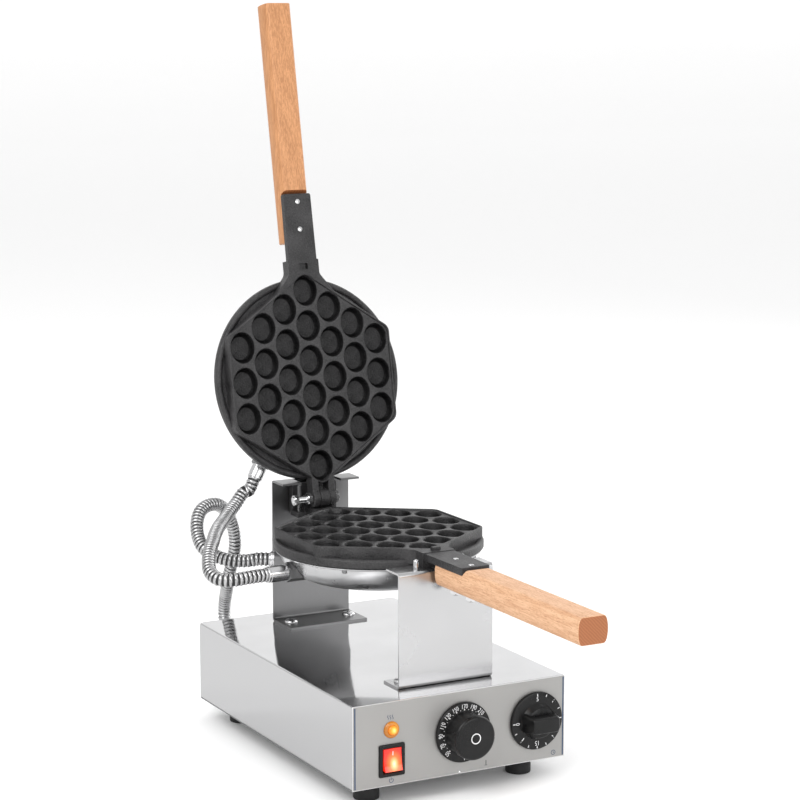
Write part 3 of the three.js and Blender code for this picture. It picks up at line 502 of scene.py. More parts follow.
along_y, along_x, along_z = (900.0, 5.0, 900.0), (5.0, 900.0, 900.0), (900.0, 900.0, 5.0)
polished = metal("polished steel", "drawn", 0.53, 0.595, 0.04, 0.09, 0.0008, Stretch=along_y)
panel_sheet = metal("bright panel edge", "drawn", 0.60, 0.70, 0.16, 0.26, 0.001, Stretch=along_x)
satin = finish("satin panel", "drawn", (0.318, 0.314, 0.306), (0.345, 0.341, 0.333), 0.38, 0.46, 0.001, 0.5,
               Stretch=along_x)
light_sheet = metal("light bracket sheet", "drawn", 0.49, 0.54, 0.22, 0.3, 0.0003, Stretch=along_z)
grey_sheet = metal("grey bracket sheet", "drawn", 0.19, 0.215, 0.26, 0.34, 0.0003, Stretch=along_z)
spun = metal("spun steel", "moulded", 0.50, 0.57, 0.26, 0.34, 0.0006, Size=300.0)
zinc = metal("bright zinc", "moulded", 0.54, 0.68, 0.14, 0.26, 0.01)
nut_steel = metal("grey nut steel", "moulded", 0.15, 0.24, 0.25, 0.4, 0.02)
conduit_steel = metal("conduit steel", "moulded", 0.38, 0.52, 0.2, 0.3, 0.01)
# Painted shade: the hose core between the ribs is near black, for the shade in the grooves.
conduit_groove_shade = metal("conduit groove shade", "moulded", 0.03, 0.06, 0.4, 0.6, 0.01)
bronze = finish("sintered bronze", "moulded", (0.36, 0.22, 0.06), (0.5, 0.32, 0.1), 0.3, 0.45, 0.02, 1.0)
cast = finish("coated casting", "cast", (0.012, 0.0116, 0.0122), (0.043, 0.0418, 0.043), 0.36, 0.52, 0.3,
              specular=0.38, Size=650.0)
black = finish("black plastic", "moulded", (0.003, 0.003, 0.0032), (0.007, 0.007, 0.0073), 0.24, 0.34, 0.02,
               specular=0.28)
rubber = finish("black rubber", "moulded", (0.006, 0.006, 0.0063), (0.012, 0.012, 0.0125), 0.6, 0.8, 0.05)
ceramic = finish("fired ceramic", "moulded", (0.72, 0.69, 0.62), (0.80, 0.77, 0.71), 0.45, 0.6, 0.02)
white_ink = finish("white ink", "moulded", grey(0.70), grey(0.86), 0.4, 0.55, 0.005)
blue_ink = finish("blue ink", "moulded", (0.012, 0.035, 0.085), (0.018, 0.05, 0.12), 0.35, 0.5, 0.005)
dark_ink = finish("dark ink", "moulded", (0.04, 0.045, 0.05), (0.07, 0.078, 0.085), 0.35, 0.5, 0.005)
beech_level = finish("beech, level stick", "beech", (0.56, 0.30, 0.16), (0.71, 0.435, 0.26), 0.42, 0.6, 0.02,
                     Along=(1.0, 0.06, 1.0), Flecks=(1700.0, 230.0, 1700.0))
# Painted shade: the same beech as the level stick, given a darker tone for the upright stick.
beech_upright_shaded = finish("beech, upright stick", "beech", (0.40, 0.178, 0.070), (0.58, 0.278, 0.122), 0.42, 0.6,
                       0.02, Along=(1.0, 1.0, 0.06), Flecks=(1700.0, 1700.0, 230.0))
print("finishes:", len(bpy.data.materials))

# %% [markdown]
# Some faces get a colour of their own. The walls of the cavities carry painted shade: near black, with
# much of their sheen taken away. The sides of the box carry painted shade too, a little darker than its top.
# The end of a stick shows its darker end grain. Those faces carry a number, and the material reads it.

# %% Painted shade and end grain on chosen faces


def flagged(mesh, name, value):
    """Stores a number on every face, worked out from the face."""
    values = mesh.attributes.new(name, "FLOAT", "FACE")
    values.data.foreach_set("value", [float(value(face)) for face in mesh.polygons])
    return mesh


def masked(material, name, colour, also=None):
    """Another colour where the number is 1; a second input can follow the same number."""
    tree = material.node_tree
    surface = tree.nodes["Principled BSDF"]
    amount = node(tree, "ShaderNodeAttribute", attribute_name=name).outputs["Fac"]
    socket = surface.inputs["Base Color"]
    tree.links.new(mixed(tree, amount, socket.links[0].from_socket, colour), socket)
    if also:
        tree.links.new(amount, surface.inputs[also])


# Painted shade: the cavity walls turn near black and, through Metallic, lose most of their sheen.
masked(cast, "hollow", (0.004, 0.004, 0.0042, 1), "Metallic")
# Painted shade: the sides of the box are darker than its top.
masked(polished, "side", (0.47, 0.47, 0.475, 1))
for wood in (beech_level, beech_upright_shaded):
    wood_tree = wood.node_tree
    rings = waves(wood_tree, object_place(wood_tree), 190.0, 2.5, 3.0)
    masked(wood, "end", mixed(wood_tree, rings, (0.29, 0.092, 0.028, 1), (0.37, 0.13, 0.045, 1)))
print("faces with their own colour: cavity walls, box sides, stick ends")

# %% [markdown]
# The lamp and the switch glow. Their light is strongest at one point behind the lens and falls off
# from pale yellow to the lens's own colour, so a ramp over the distance from that point gives both
# the colour and the light.

# %% Lit lenses


def lit(name, centre, reach, strength, base, stops, squeeze=(1.0, 1.0, 1.0)):
    material = finish(name, "moulded", base, base, 0.12, 0.2, 0.01, coat=0.3)
    tree = material.node_tree
    surface = tree.nodes["Principled BSDF"]
    offset = node(tree, "ShaderNodeVectorMath", [(0, object_place(tree)), (1, machine @ Vector(centre))],
                  operation="SUBTRACT").outputs[0]
    scaled = stretched(tree, offset, tuple(s / (reach * MM) for s in squeeze))
    far = node(tree, "ShaderNodeVectorMath", [(0, scaled)], operation="LENGTH").outputs["Value"]
    glow = node(tree, "ShaderNodeValToRGB", [("Fac", far)])
    elements = glow.color_ramp.elements
    while len(elements) < len(stops):
        elements.new(0.5)
    for element, (position, colour) in zip(elements, stops):
        element.position = position
        element.color = (*colour, 1)
    tree.links.new(glow.outputs["Color"], surface.inputs["Emission Color"])
    surface.inputs["Emission Strength"].default_value = strength
    return material


lamp_x, lamp_z = -78.0, box_floor + 56.4
rocker_x, rocker_z = -77.7, box_floor + 26.0
amber = lit("lit amber", (lamp_x + 0.6, -7, lamp_z + 0.6), 8, 1.25, (0.34, 0.10, 0.004), [
    (0.0, (1.0, 0.84, 0.36)), (0.28, (1.0, 0.52, 0.06)), (0.52, (0.72, 0.20, 0.004)), (0.9, (0.22, 0.045, 0.0))])
amber_rim = lit("amber rim", (lamp_x + 3, -3, lamp_z + 2), 13, 0.5, (0.34, 0.12, 0.006), [
    (0.0, (1.0, 0.46, 0.04)), (0.45, (0.56, 0.19, 0.012)), (0.9, (0.14, 0.03, 0.0))])
red = lit("lit red", (rocker_x + 1.0, -3, rocker_z - 3.0), 15, 1.5, (0.22, 0.006, 0.003), [
    (0.0, (1.0, 0.86, 0.62)), (0.2, (1.0, 0.52, 0.2)), (0.42, (1.0, 0.17, 0.03)), (0.78, (0.80, 0.025, 0.005)),
    (1.0, (0.42, 0.006, 0.002))], (1.25, 0.3, 0.85))
print("lit lenses:", amber.name, amber_rim.name, red.name)

# %% [markdown]
# ## Hoses
# Two strip-wound steel conduits carry the heater wires: one from the base to the lower iron, and one
# from there to the upper iron, which bends as the lid moves. Each is a smooth route from gland to
# gland with round ribs set along it, so a node tree repeats one rib along the route.

# %% Hose routes
hose_crest, rib_crest, hose_root, rib_radius, rib_pitch = 7.4, 7.25, 6.35, 2.12, 4.6
gland_depth, mouth_gap, gland_start, gland_bore = 35.4, 0.3, 84, 4.8
supply_x, supply_z, supply_end = -60, 61, 388
# Each gland on an iron: the iron, its direction in degrees, where its nut ends and where it ends.
glands = {"link_gland_lower": ("lower", 177.8, 108.5, 131.0),
          "supply_gland_iron": ("lower", -150, 107.5, 112.0),
          "link_gland_upper": ("upper", -57.5, 106.5, 121.2)}
link_route = [
    (-0.078, 0.334, 0.252), (-0.092, 0.327, 0.241), (-0.106, 0.314, 0.235), (-0.120, 0.297, 0.231),
    (-0.134, 0.278, 0.229), (-0.146, 0.260, 0.226), (-0.156, 0.243, 0.223), (-0.167, 0.226, 0.218),
    (-0.176, 0.209, 0.211), (-0.181, 0.193, 0.204), (-0.178, 0.178, 0.200), (-0.166, 0.169, 0.200),
]
supply_route = [
    (-0.115, 0.239, 0.200), (-0.132, 0.248, 0.200), (-0.144, 0.261, 0.203), (-0.151, 0.278, 0.209),
    (-0.150, 0.294, 0.217), (-0.145, 0.309, 0.228), (-0.136, 0.322, 0.237), (-0.124, 0.332, 0.241),
    (-0.109, 0.341, 0.240), (-0.095, 0.351, 0.232), (-0.084, 0.360, 0.219), (-0.076, 0.367, 0.203),
    (-0.072, 0.373, 0.185), (-0.071, 0.382, 0.166), (-0.070, 0.394, 0.148), (-0.066, 0.408, 0.132),
    (-0.061, 0.424, 0.117), (-0.057, 0.437, 0.101), (-0.055, 0.442, 0.085), (-0.056, 0.434, 0.070),
]


def gland_mouth(name):
    """Where a hose enters a gland, and the way it comes out."""
    which, degrees, _, end = glands[name]
    iron, angle = irons[which]["place"], math.radians(degrees)
    out = Vector((math.cos(angle), math.sin(angle), 0))
    return iron @ (out * (end + mouth_gap) + Vector((0, 0, gland_depth))), (iron.to_3x3() @ out).normalized()


def smooth_line(points, per_span=14):
    """A smooth centripetal curve through the points, as the rigid model's hoses follow."""
    points = [Vector(p) for p in points]
    points = [points[0] * 2 - points[1], *points, points[-1] * 2 - points[-2]]
    line = []
    for p0, p1, p2, p3 in zip(points, points[1:], points[2:], points[3:]):
        t1 = max((p1 - p0).length, 1e-9) ** 0.5
        t2 = t1 + max((p2 - p1).length, 1e-9) ** 0.5
        t3 = t2 + max((p3 - p2).length, 1e-9) ** 0.5
        for k in range(per_span):
            t = t1 + (t2 - t1) * k / per_span
            a1 = p0 * ((t1 - t) / t1) + p1 * (t / t1)
            a2 = p1 * ((t2 - t) / (t2 - t1)) + p2 * ((t - t1) / (t2 - t1))
            a3 = p2 * ((t3 - t) / (t3 - t2)) + p3 * ((t - t2) / (t3 - t2))
            b1 = a1 * ((t2 - t) / t2) + a2 * (t / t2)
            b2 = a2 * ((t3 - t) / (t3 - t1)) + a3 * ((t - t1) / (t3 - t1))
            line.append(b1 * ((t2 - t) / (t2 - t1)) + b2 * ((t - t1) / (t2 - t1)))
    return line + [points[-2]]


def hose_line(start, route, end):
    straight = 2 * hose_crest * MM
    middle = [origin + Vector(p) for p in route]
    return smooth_line([start[0], start[0] + start[1] * straight, *middle, end[0] + end[1] * straight, end[0]])


def length_of(line):
    return sum((b - a).length for a, b in zip(line, line[1:]))


link_line = hose_line(gland_mouth("link_gland_upper"), link_route, gland_mouth("link_gland_lower"))
base_mouth = (machine @ Vector((supply_x, supply_end + mouth_gap, supply_z)), Vector((0, 1, 0)))
supply_line = hose_line(gland_mouth("supply_gland_iron"), supply_route, base_mouth)
print("link hose", round(length_of(link_line), 4), "m; supply hose", round(length_of(supply_line), 4), "m")

# %% [markdown]
# The node tree takes the route as a curve. It sweeps a plain core along it, near black as painted shade in
# the grooves, puts a ring on it at every pitch, turned square to the route, and makes the rings real, so
# that the result is one plain mesh.

# %% Ribs along a route


def growth(name, inputs):
    return group(name, [("Geometry", GEOMETRY, None), *inputs], [("Geometry", GEOMETRY)], "GeometryNodeTree")


def ending(tree, result, *sources):
    """Makes each source real, gives it its material and joins them all."""
    together = tree.nodes.new("GeometryNodeJoinGeometry")
    for source, material in sources:
        real = node(tree, "GeometryNodeRealizeInstances", [("Geometry", source)])
        done = node(tree, "GeometryNodeSetMaterial", [("Geometry", real.outputs["Geometry"]), ("Material", material)])
        tree.links.new(done.outputs["Geometry"], together.inputs["Geometry"])
    tree.links.new(together.outputs["Geometry"], result.inputs["Geometry"])
    return tree


def ribbed_hose():
    tree, given, result = growth("ribbed hose", [
        ("Crest", FLOAT, rib_crest * MM), ("Root", FLOAT, hose_root * MM), ("Rib", FLOAT, rib_radius * MM),
        ("Pitch", FLOAT, rib_pitch * MM), ("Material", MATERIAL, None), ("Gap", MATERIAL, None)])
    route = given["Geometry"]

    def circle(radius, sides):
        return node(tree, "GeometryNodeCurvePrimitiveCircle",
                    [("Radius", radius), ("Resolution", sides)]).outputs["Curve"]

    def swept(line, section, caps):
        return node(tree, "GeometryNodeCurveToMesh", [
            ("Curve", line), ("Profile Curve", section), ("Fill Caps", caps)]).outputs["Mesh"]

    # The core shows between the ribs and carries the painted groove shade.
    core = swept(route, circle(given["Root"], 24), True)
    rib = swept(circle(maths(tree, "SUBTRACT", given["Crest"], given["Rib"]), 22), circle(given["Rib"], 8), False)
    places = node(tree, "GeometryNodeCurveToPoints", [("Curve", route), ("Length", given["Pitch"])], mode="LENGTH")
    ribs = node(tree, "GeometryNodeInstanceOnPoints", [
        ("Points", places.outputs["Points"]), ("Instance", rib), ("Rotation", places.outputs["Rotation"])])
    return ending(tree, result, (core, given["Gap"]), (ribs.outputs["Instances"], given["Material"]))


hose_tree = ribbed_hose()
print("rib tree ready")

# %% [markdown]
# The tree runs as a modifier on a seed curve, and what it makes is kept as a plain mesh.

# %% Two hoses


def grown(source, tree, **values):
    """Runs a node tree on a curve or mesh and returns the plain mesh."""
    obj = added("seed", source)
    step = obj.modifiers.new("grow", "NODES")
    step.node_group = tree
    for item in tree.interface.items_tree:
        if item.item_type == "SOCKET" and item.in_out == "INPUT" and item.name in values:
            step[item.identifier] = values[item.name]
    mesh = final_mesh(obj)
    bpy.data.objects.remove(obj)
    return mesh


def route_curve(line):
    curve = bpy.data.curves.new("route", "CURVE")
    curve.dimensions = "3D"
    spline = curve.splines.new("POLY")
    spline.points.add(len(line) - 1)
    for point, place in zip(spline.points, line):
        point.co = (*place, 1)
    return curve


def hose(name, line, replaced):
    short = [line[0] + (line[1] - line[0]).normalized() * 0.1 * MM, *line[1:-1]]
    mesh = grown(route_curve(short), hose_tree, Material=conduit_steel, Gap=conduit_groove_shade)
    obj = added(name, mesh)
    mesh.shade_smooth()
    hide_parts(replaced)
    tuple(line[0])
    length_of(line)
    [tuple(p) for p in line]
    return obj


supply_hose = hose("supply_conduit", supply_line, "supply_hose")
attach(supply_hose, "base")
link_hose = hose("link_conduit", link_line, "link_hose")
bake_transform(link_hose)
print("hose faces:", len(supply_hose.data.polygons) + len(link_hose.data.polygons))

# %% [markdown]
# ## The irons
# Each iron is one aluminium casting: a pointed hexagon full of egg-shaped cavities on a round
# flange, with a strap for the handle at one end. It is drawn face down, from its mating face at
# zero, and the cavities are cut with one turned tool, stretched to an egg.

# %% Casting outline and cavity tool
half_width, corner_s, tip_s, corner_radius = 97.0, 50.0, 116.0, 11.0
casting_gap, thickness, flange_top = 0.3, 20.0, 14.0
rim_width, deck = 2.2, 1.8
pitch_s, pitch_x, radius_x, radius_s, cavity_depth = 37.95, 26.6, 13.6, 16.2, 8.2


def hexagon(inwards):
    rise = tip_s - corner_s
    edge = math.hypot(half_width, rise)
    x = half_width - inwards
    corner = (half_width * tip_s - inwards * edge - rise * x) / half_width
    tip = tip_s - inwards * edge / half_width
    return rounded([(0, -tip), (x, -corner), (x, corner), (0, tip), (-x, corner), (-x, -corner)], corner_radius, 8)


def cavity_tool():
    floor = deck + cavity_depth
    profile = [(0, -2), (1.07, -2), (1.07, deck), (1.035, deck + 0.3), (1.01, deck + 0.8), (0.99, deck + 1.7),
               (0.965, 4.9), (0.935, 6.4), (0.89, 7.9), (0.84, 9.0), (0.80, 9.55), (0.775, 9.85), (0.76, floor),
               (0, floor)]
    return moved(turned(profile, 48), Matrix.Diagonal((radius_x, radius_s, 1, 1)))


cavity_places = [(i * pitch_x, (j - (5 - abs(i)) / 2) * pitch_s) for i in range(-3, 4) for j in range(6 - abs(i))]
print("cavities in each iron:", len(cavity_places))

# %% [markdown]
# The flange carries a thin raised ring at its edge, which leaves a dark pocket beside each straight
# side of the hexagon. A rounded block joins the strap to the hexagon and widens towards it.

# %% One casting
strap_half, strap_tip_half, strap_end, strap_thick = 17.0, 16.25, 200.0, 8.0
block_radius, block_start, block_end, shoulder_half = 18.2, 104.0, 128.5, 18.0
bolt_places, bolt_bore = (161.5, 191.5), 3.3


def casting(*extras):
    body = stacked((hexagon(1.0), 0.3), (hexagon(0.35), 0.55), (hexagon(0), 1.2), (hexagon(0), flange_top + 1))
    flange_ring = [(101.5, 0), (102.0, -0.4), (102.3, -1.2), (103.2, -2.2), (104.6, -2.9), (106.0, -3.1),
                   (107.4, -2.7), (108.4, -1.8), (109, -0.3)]
    flange = turned([(0, flange_top), *((r, flange_top + z) for r, z in flange_ring), (109, thickness - 1),
                     (108.2, thickness), (0, thickness)], 192)
    strap_outline = [(-strap_half, block_start), (strap_half, block_start), (strap_tip_half, strap_end),
                     (-strap_tip_half, strap_end)]
    strap = extruded(rounded(strap_outline, 2.2, 5, (2, 3)), 0.9, casting_gap + strap_thick, 0.5)
    block = rod(block_radius, block_start, block_end, 64, LAY_Y, edge=0.8)
    lid = extruded(rectangle(-40, 90, 40, 140), -30, casting_gap)
    w = shoulder_half
    shoulder_outline = [(-36, 90), (36, 90), (w, 113), (w, 127.6), (-w, 127.6), (-w, 113)]
    shoulder = extruded(rounded(shoulder_outline, 11, 8, (2, 5)), casting_gap, 15, 0.5)
    body = joined(body, flange, strap, cut(block, lid), shoulder, *extras)
    recess = stacked((hexagon(rim_width - 0.5), -3), (hexagon(rim_width - 0.3), 0.2), (hexagon(rim_width + 0.4), deck))
    tool = cavity_tool()
    cavities = [moved(tool.copy(), shift(x, s)) for x, s in cavity_places]
    holes = [rod(bolt_bore, -2, 12, 48, shift(0, s)) for s in bolt_places]
    return cut(body, recess, bundle(*cavities), bundle(*holes))


print("casting recipe ready")

# %% [markdown]
# The lower casting ends at the rear in a neck to the pivot head and carries a small peg on its block;
# the upper one has the matching slot and, at the rear, two ears round the hinge pin.

# %% Lower and upper castings
hinge_back, hinge_lift, ear_near, ear_far = 129.6, 6.4, 5.8, 13.3
eye_radius, pin_bore_radius, eye_room = 9.5, 4.3, 9.8
at_eye = shift(0, -hinge_back, hinge_lift)


def peg_box(grow, low, high, edge=0.0):
    x, y = 4.25 + grow, 2.75 + grow
    return extruded(rectangle(-x, 121 - y, x, 121 + y), low, high, edge)


def ear(side):
    a, b = sorted((side * ear_near, side * ear_far))
    web = extruded(rectangle(-hinge_back, 0.3, -101.6, 15), a, b, 0.5)
    return joined(rod(eye_radius, a, b, 48, LAY_X, at_eye, edge=0.5), moved(web, SIDEWAYS))


neck = extruded(rectangle(-13, -148.4, 13, -100), 3.4, 15, 0.8)
lower_form = joined(casting(neck), peg_box(0, -3, 4, 0.6))
pin_bore = rod(pin_bore_radius, -20, 20, 32, LAY_X, at_eye)
between_ears = extruded(
    rectangle(-ear_near, -hinge_back - eye_room, ear_near, -hinge_back + eye_room), -3.4, 22)
upper_form = cut(casting(ear(-1), ear(1)), pin_bore, between_ears, peg_box(0.6, -2, 3.9))


def cavity_shade_share(face):
    """How much painted shade a face gets: most on the deep walls, less on the floors, none outside."""
    x, s, z = face.center
    inside = abs(x) < half_width - 4 and abs(s) + abs(x) * (tip_s - corner_s) / half_width < tip_s - 4
    if not inside or z < deck + 0.5 or z > deck + cavity_depth + 0.1:
        return 0.0
    return 0.45 if abs(face.normal.z) > 0.9 else 0.4 + 0.5 * (z - deck) / cavity_depth


# Each casting carries its painted shade on the cavity walls as a number per face.
for which, form in (("lower", lower_form), ("upper", upper_form)):
    flagged(form, "hollow", cavity_shade_share)
    piece(f"{which}_casting", form, cast, "cast_aluminium", f"{which}_plate", **irons[which])
print("casting faces:", len(lower_form.polygons), len(upper_form.polygons))

# %% [markdown]
# Under each casting sits a spun steel bowl over the heater, with a rolled bead at its edge and four
# small screws under the bead. It is a little deeper than the rigid model's cover.

# %% Spun bowls
seat_z, bowl_floor, bowl_wall = 20.3, 52.4, 1.2
bowl_points = [(103.9, 23.4), (102.2, 28.0), (97.2, 36.2), (89.6, 43.2), (79.0, 48.6), (66.0, 51.6),
               (50.0, bowl_floor)]
bowl_line = [(p.x, p.y) for p in smooth_line([(r, z, 0) for r, z in bowl_points], 5)]


def out_of_iron(degrees):
    """The moves that lay a turned form along a gland's direction."""
    return LAY_X, shift(z=gland_depth), turn("Z", degrees)


def bowl(which):
    bead = [(104.8, 0), (106.6, 0.15), (107.3, 0.9), (107.1, 1.8), (106.2, 2.4), (104.6, 2.6)]
    steep, flat = bowl_line[:-8], bowl_line[-8:]
    inner = [(r - bowl_wall, z - 0.5) for r, z in steep] + [(r, z - bowl_wall) for r, z in flat]
    outline = [(r, seat_z + z) for r, z in bead] + bowl_line + [(0, bowl_floor), (0, bowl_floor - bowl_wall)]
    shell = turned(outline + inner[::-1] + [(102.6, seat_z)], 160, closed=True)
    turns = [degrees for iron, degrees, *_ in glands.values() if iron == which]
    return cut(shell, bundle(*(rod(7.8, gland_start, 112, 48, *out_of_iron(degrees)) for degrees in turns)))


def bowl_screws():
    head = [(0, 22.4), (2.9, 22.4), (2.9, 25.6), (2.4, 26.2), (1.0, 26.2), (0.9, 25.4), (0, 25.4)]
    return bundle(*(moved(turned(head, 24), shift(x=102.6), turn("Z", -a)) for a in (43, 133, 223, 313)))


for which, iron in irons.items():
    piece(f"{which}_bowl", bowl(which), spun, "polished_steel", f"{which}_cover", **iron)
    piece(f"{which}_bowl_screws", bowl_screws(), nut_steel, "zinc_steel", **iron)
print("bowls made")

# %% [markdown]
# ## Handles
# The handles are sticks of beech, flat above and below with bulging sides. A notch takes the end of
# the strap, and two bolts go through both, with flush heads on the strap and nuts under the wood.

# %% Handles
handle_start, handle_end, handle_top, handle_height, handle_half = 147.5, 407.5, 2.8, 26.2, 16.0
nut_low, nut_high, notch_slope = 31.1, 36.1, 4.4


def handle_section(s, inwards):
    flat, half = 10.6, handle_height / 2 - inwards
    bulge = handle_half - inwards - flat
    side = [(flat + bulge * math.cos(math.radians(a)) ** 0.75, half * math.sin(math.radians(a)))
            for a in (-90, -82, -70, -58, -45, -30, -15, 0, 15, 30, 45, 58, 70, 82, 90)]
    middle = handle_top + handle_height / 2
    return [(x, s, middle + z) for x, z in side + [(-x, z) for x, z in side[::-1]]]


def end_share(face):
    """1 on the end of the stick and on the slope of its notch."""
    s, z = face.center.y, face.center.z
    slope = strap_end < s < strap_end + notch_slope and z < 8.6 and face.normal.y < -0.5
    return s > handle_end - 0.1 or slope


def handle():
    stick = lofted([handle_section(s, inwards) for s, inwards in (
        (handle_start, 0.7), (handle_start + 0.7, 0), (handle_end - 0.5, 0), (handle_end, 0.5))])
    notch = stacked(*((rectangle(-34, handle_start - 3, 34, strap_end + end), z) for end, z in (
        (notch_slope, -3), (notch_slope, handle_top - 0.2), (0.4, 8.7))))
    bores = [rod(bolt_bore, -2, 40, 24, shift(0, s)) for s in bolt_places]
    return flagged(cut(stick, notch, bundle(*bores)), "end", end_share)


def hex_nut(radius, low, high, bore):
    """A nut with its corners turned down; a bore of 0 leaves it solid."""
    edge = 0.9
    blank = turned([(0, low), (radius * 0.88, low), (radius, low + edge), (radius, high - edge),
                    (radius * 0.88, high), (0, high)], 48)
    corners = [(radius * math.cos(math.radians(60 * k)), radius * math.sin(math.radians(60 * k))) for k in range(6)]
    nut = combined(extruded(corners, low - 1, high + 1), [blank], "INTERSECT")
    return cut(nut, rod(bore, low - 2, high + 2, 24)) if bore else nut


def handle_bolt(s):
    end = nut_high + 1.5
    profile = [(0, 0.35), (1.6, 0.4), (2.7, 0.75), (3.0, 1.2), (3.0, end - 0.5), (2.5, end), (0, end)]
    return moved(turned(profile, 32), shift(0, s))


for which, iron in irons.items():
    # The upright stick's beech carries painted shade, darker than the level one.
    wood = beech_level if which == "lower" else beech_upright_shaded
    piece(f"{which}_stick", handle(), wood, "beech", f"{which}_handle", **iron)
    for end, s in zip(("near", "far"), bolt_places):
        piece(f"{which}_rivet_{end}", handle_bolt(s), zinc, "zinc_steel", f"{which}_handle_bolt_{end}", **iron)
        washer = turned([(bolt_bore, 29.1), (7.4, 29.1), (7.4, nut_low), (bolt_bore, nut_low)], 40, closed=True)
        nut = moved(bundle(hex_nut(5.8, nut_low, nut_high, bolt_bore), washer), shift(0, s))
        piece(f"{which}_nut_{end}", nut, zinc, "zinc_steel", f"{which}_handle_nut_{end}", **iron)
print("handles made")

# %% [markdown]
# ## Glands
# Where a conduit enters an iron it screws into a hexagon nut and a smooth ferrule. The nut seats on
# the curve of the bowl, so it is cut with the bowl's own shape.

# %% Glands on the irons


def bowl_block(grow):
    line = [(r + grow, z + grow * 0.5) for r, z in bowl_line]
    return turned([(0, 18), (107.4 + grow, 18), (107.4 + grow, 23.0 + grow), *line, (0, bowl_floor + grow)], 160)


def iron_gland(degrees, nut_end, end):
    out = out_of_iron(degrees)
    nut = cut(moved(hex_nut(10.5, gland_start, nut_end, 0), *out), bowl_block(0.3))
    profile = [(0, nut_end - 0.3), (7.9, nut_end - 0.3), (8.4, nut_end + 0.4), (8.4, end - 3.2), (7.9, end - 2.8),
               (7.9, end - 2.2), (8.4, end - 1.8), (8.4, end - 0.5), (7.9, end), (0, end)]
    sleeve = moved(turned(profile, 48), *out)
    tube = rod(7.5, gland_start, nut_end + 1, 48, *out)
    bore = rod(gland_bore, gland_start - 4, end + 2, 32, *out)
    return cut(nut, bore), cut(joined(tube, sleeve), bore)


for name, (which, degrees, nut_end, end) in glands.items():
    nut, ferrule = iron_gland(degrees, nut_end, end)
    piece(f"{name}_nut", nut, nut_steel, "zinc_steel", name, **irons[which])
    piece(f"{name}_ferrule", ferrule, zinc, "zinc_steel", name, **irons[which])
print("glands made")

# %% [markdown]
# ## Base box
# The box is folded from thin polished sheet, with a panel let in at each end. Only its two long upper
# edges are bent; the panel's own edge catches a thin line of light all round.

# %% Sheet box
base_half, base_depth, wall, bend, border = 120.0, 363.0, 1.2, 1.6, 0.9
thermo_x, thermo_z, timer_x, timer_z = 1.0, box_floor + 43.0, 85.0, box_floor + 42.5
switch_w, switch_h = 28.3 / 2, 32.6 / 2
rear_screws = {"left": (-35, 310), "right": (35, 310)}
front_screws = {"left": (-40, 50), "right": (40, 50)}


def box_outline(inwards, bottom):
    x, z = base_half - inwards, box_top - inwards
    return rounded(rectangle(-x, bottom, x, z), max(bend - inwards, 0.3), 8, (2, 3))


def screw_holes(screws, low, high):
    return [rod(3.1, low, high, 24, shift(x, y)) for x, y in screws.values()]


skin_low = box_floor + wall + 0.3
skin = moved(extruded(box_outline(0, skin_low), 1.5, base_depth - 1.5), UPRIGHT)
inside = moved(extruded(box_outline(wall, skin_low - 2), -2, base_depth + 2), UPRIGHT)
skin = cut(skin, inside, *screw_holes(rear_screws, 90, 120), *screw_holes(front_screws, 90, 120))
# The sides of the skin carry painted shade, darker than the top.
flagged(skin, "side", lambda face: abs(face.normal.x) > 0.9)
piece("box_skin", skin, polished, "polished_steel", "base_cover")


def panel_tools(y0, y1):
    tools = [rod(r, y0, y1, 48, LAY_Y, shift(x, 0, z)) for r, x, z in
             ((6.7, lamp_x, lamp_z), (6.8, thermo_x, thermo_z), (6.8, timer_x, timer_z))]
    x, z = switch_w - 1.9, switch_h - 1.9
    window = rectangle(rocker_x - x, rocker_z - z, rocker_x + x, rocker_z + z)
    return tools + [moved(extruded(window, y0, y1), UPRIGHT)]


edge = 0.3
whole, small = box_outline(0, box_floor), box_outline(edge, box_floor + edge)
front = moved(stacked((small, 0), (whole, edge), (whole, wall)), UPRIGHT)
piece("front_plate", cut(front, *panel_tools(-2, 5)), panel_sheet, "polished_steel", "front_panel")
overlay_outline = rounded(
    rectangle(-base_half + border, box_floor + border, base_half - border, box_top - border), 0.6, 3)
overlay = cut(moved(extruded(overlay_outline, -0.5, 0, 0.12), UPRIGHT), *panel_tools(-4, 4))
piece("panel_overlay", overlay, satin, "brushed_steel", "control_overlay")
print("box made")

# %% [markdown]
# The marks on the panel are printed: a blue line down each side, a small pointer under the
# thermostat, and plain icons for heat, power and time.

# %% Printed marks
INK = 0.06


def stroke(points, width, closed=False):
    """A printed line of even width through points on the panel, as one thin solid."""
    line = [Vector(p) for p in points]
    left, right = [], []
    for i, here in enumerate(line):
        before = line[i - 1] if i or closed else here
        after = line[(i + 1) % len(line)] if i + 1 < len(line) or closed else here
        way = (after - before).normalized()
        side = Vector((-way.y, way.x)) * (width / 2)
        left.append(here + side)
        right.append(here - side)
    points, faces, n = [], [], len(line)
    for z in (0, INK):
        points += [(*p, z) for p in left] + [(*p, z) for p in right]
    for i in range(n if closed else n - 1):
        j = (i + 1) % n
        faces += [(i, j, n + j, n + i), (2 * n + i, 3 * n + i, 3 * n + j, 2 * n + j),
                  (i, 2 * n + i, 2 * n + j, j), (n + i, n + j, 3 * n + j, 3 * n + i)]
    if not closed:
        faces += [(0, n, 3 * n, 2 * n), (n - 1, 3 * n - 1, 4 * n - 1, 2 * n - 1)]
    return mesh_of(points, faces)


def arc(x, z, radius, start, end):
    angles = [math.radians(start + (end - start) * k / 24) for k in range(25)]
    return [(x + radius * math.sin(a), z + radius * math.cos(a)) for a in angles]


def printed(name, marks, ink):
    """Lays flat marks on the panel, their faces towards the front."""
    lifted = moved(bundle(*marks), shift(0, box_floor), turn("X", 90), shift(0, -0.5))
    piece(name, lifted, ink, "brushed_steel")


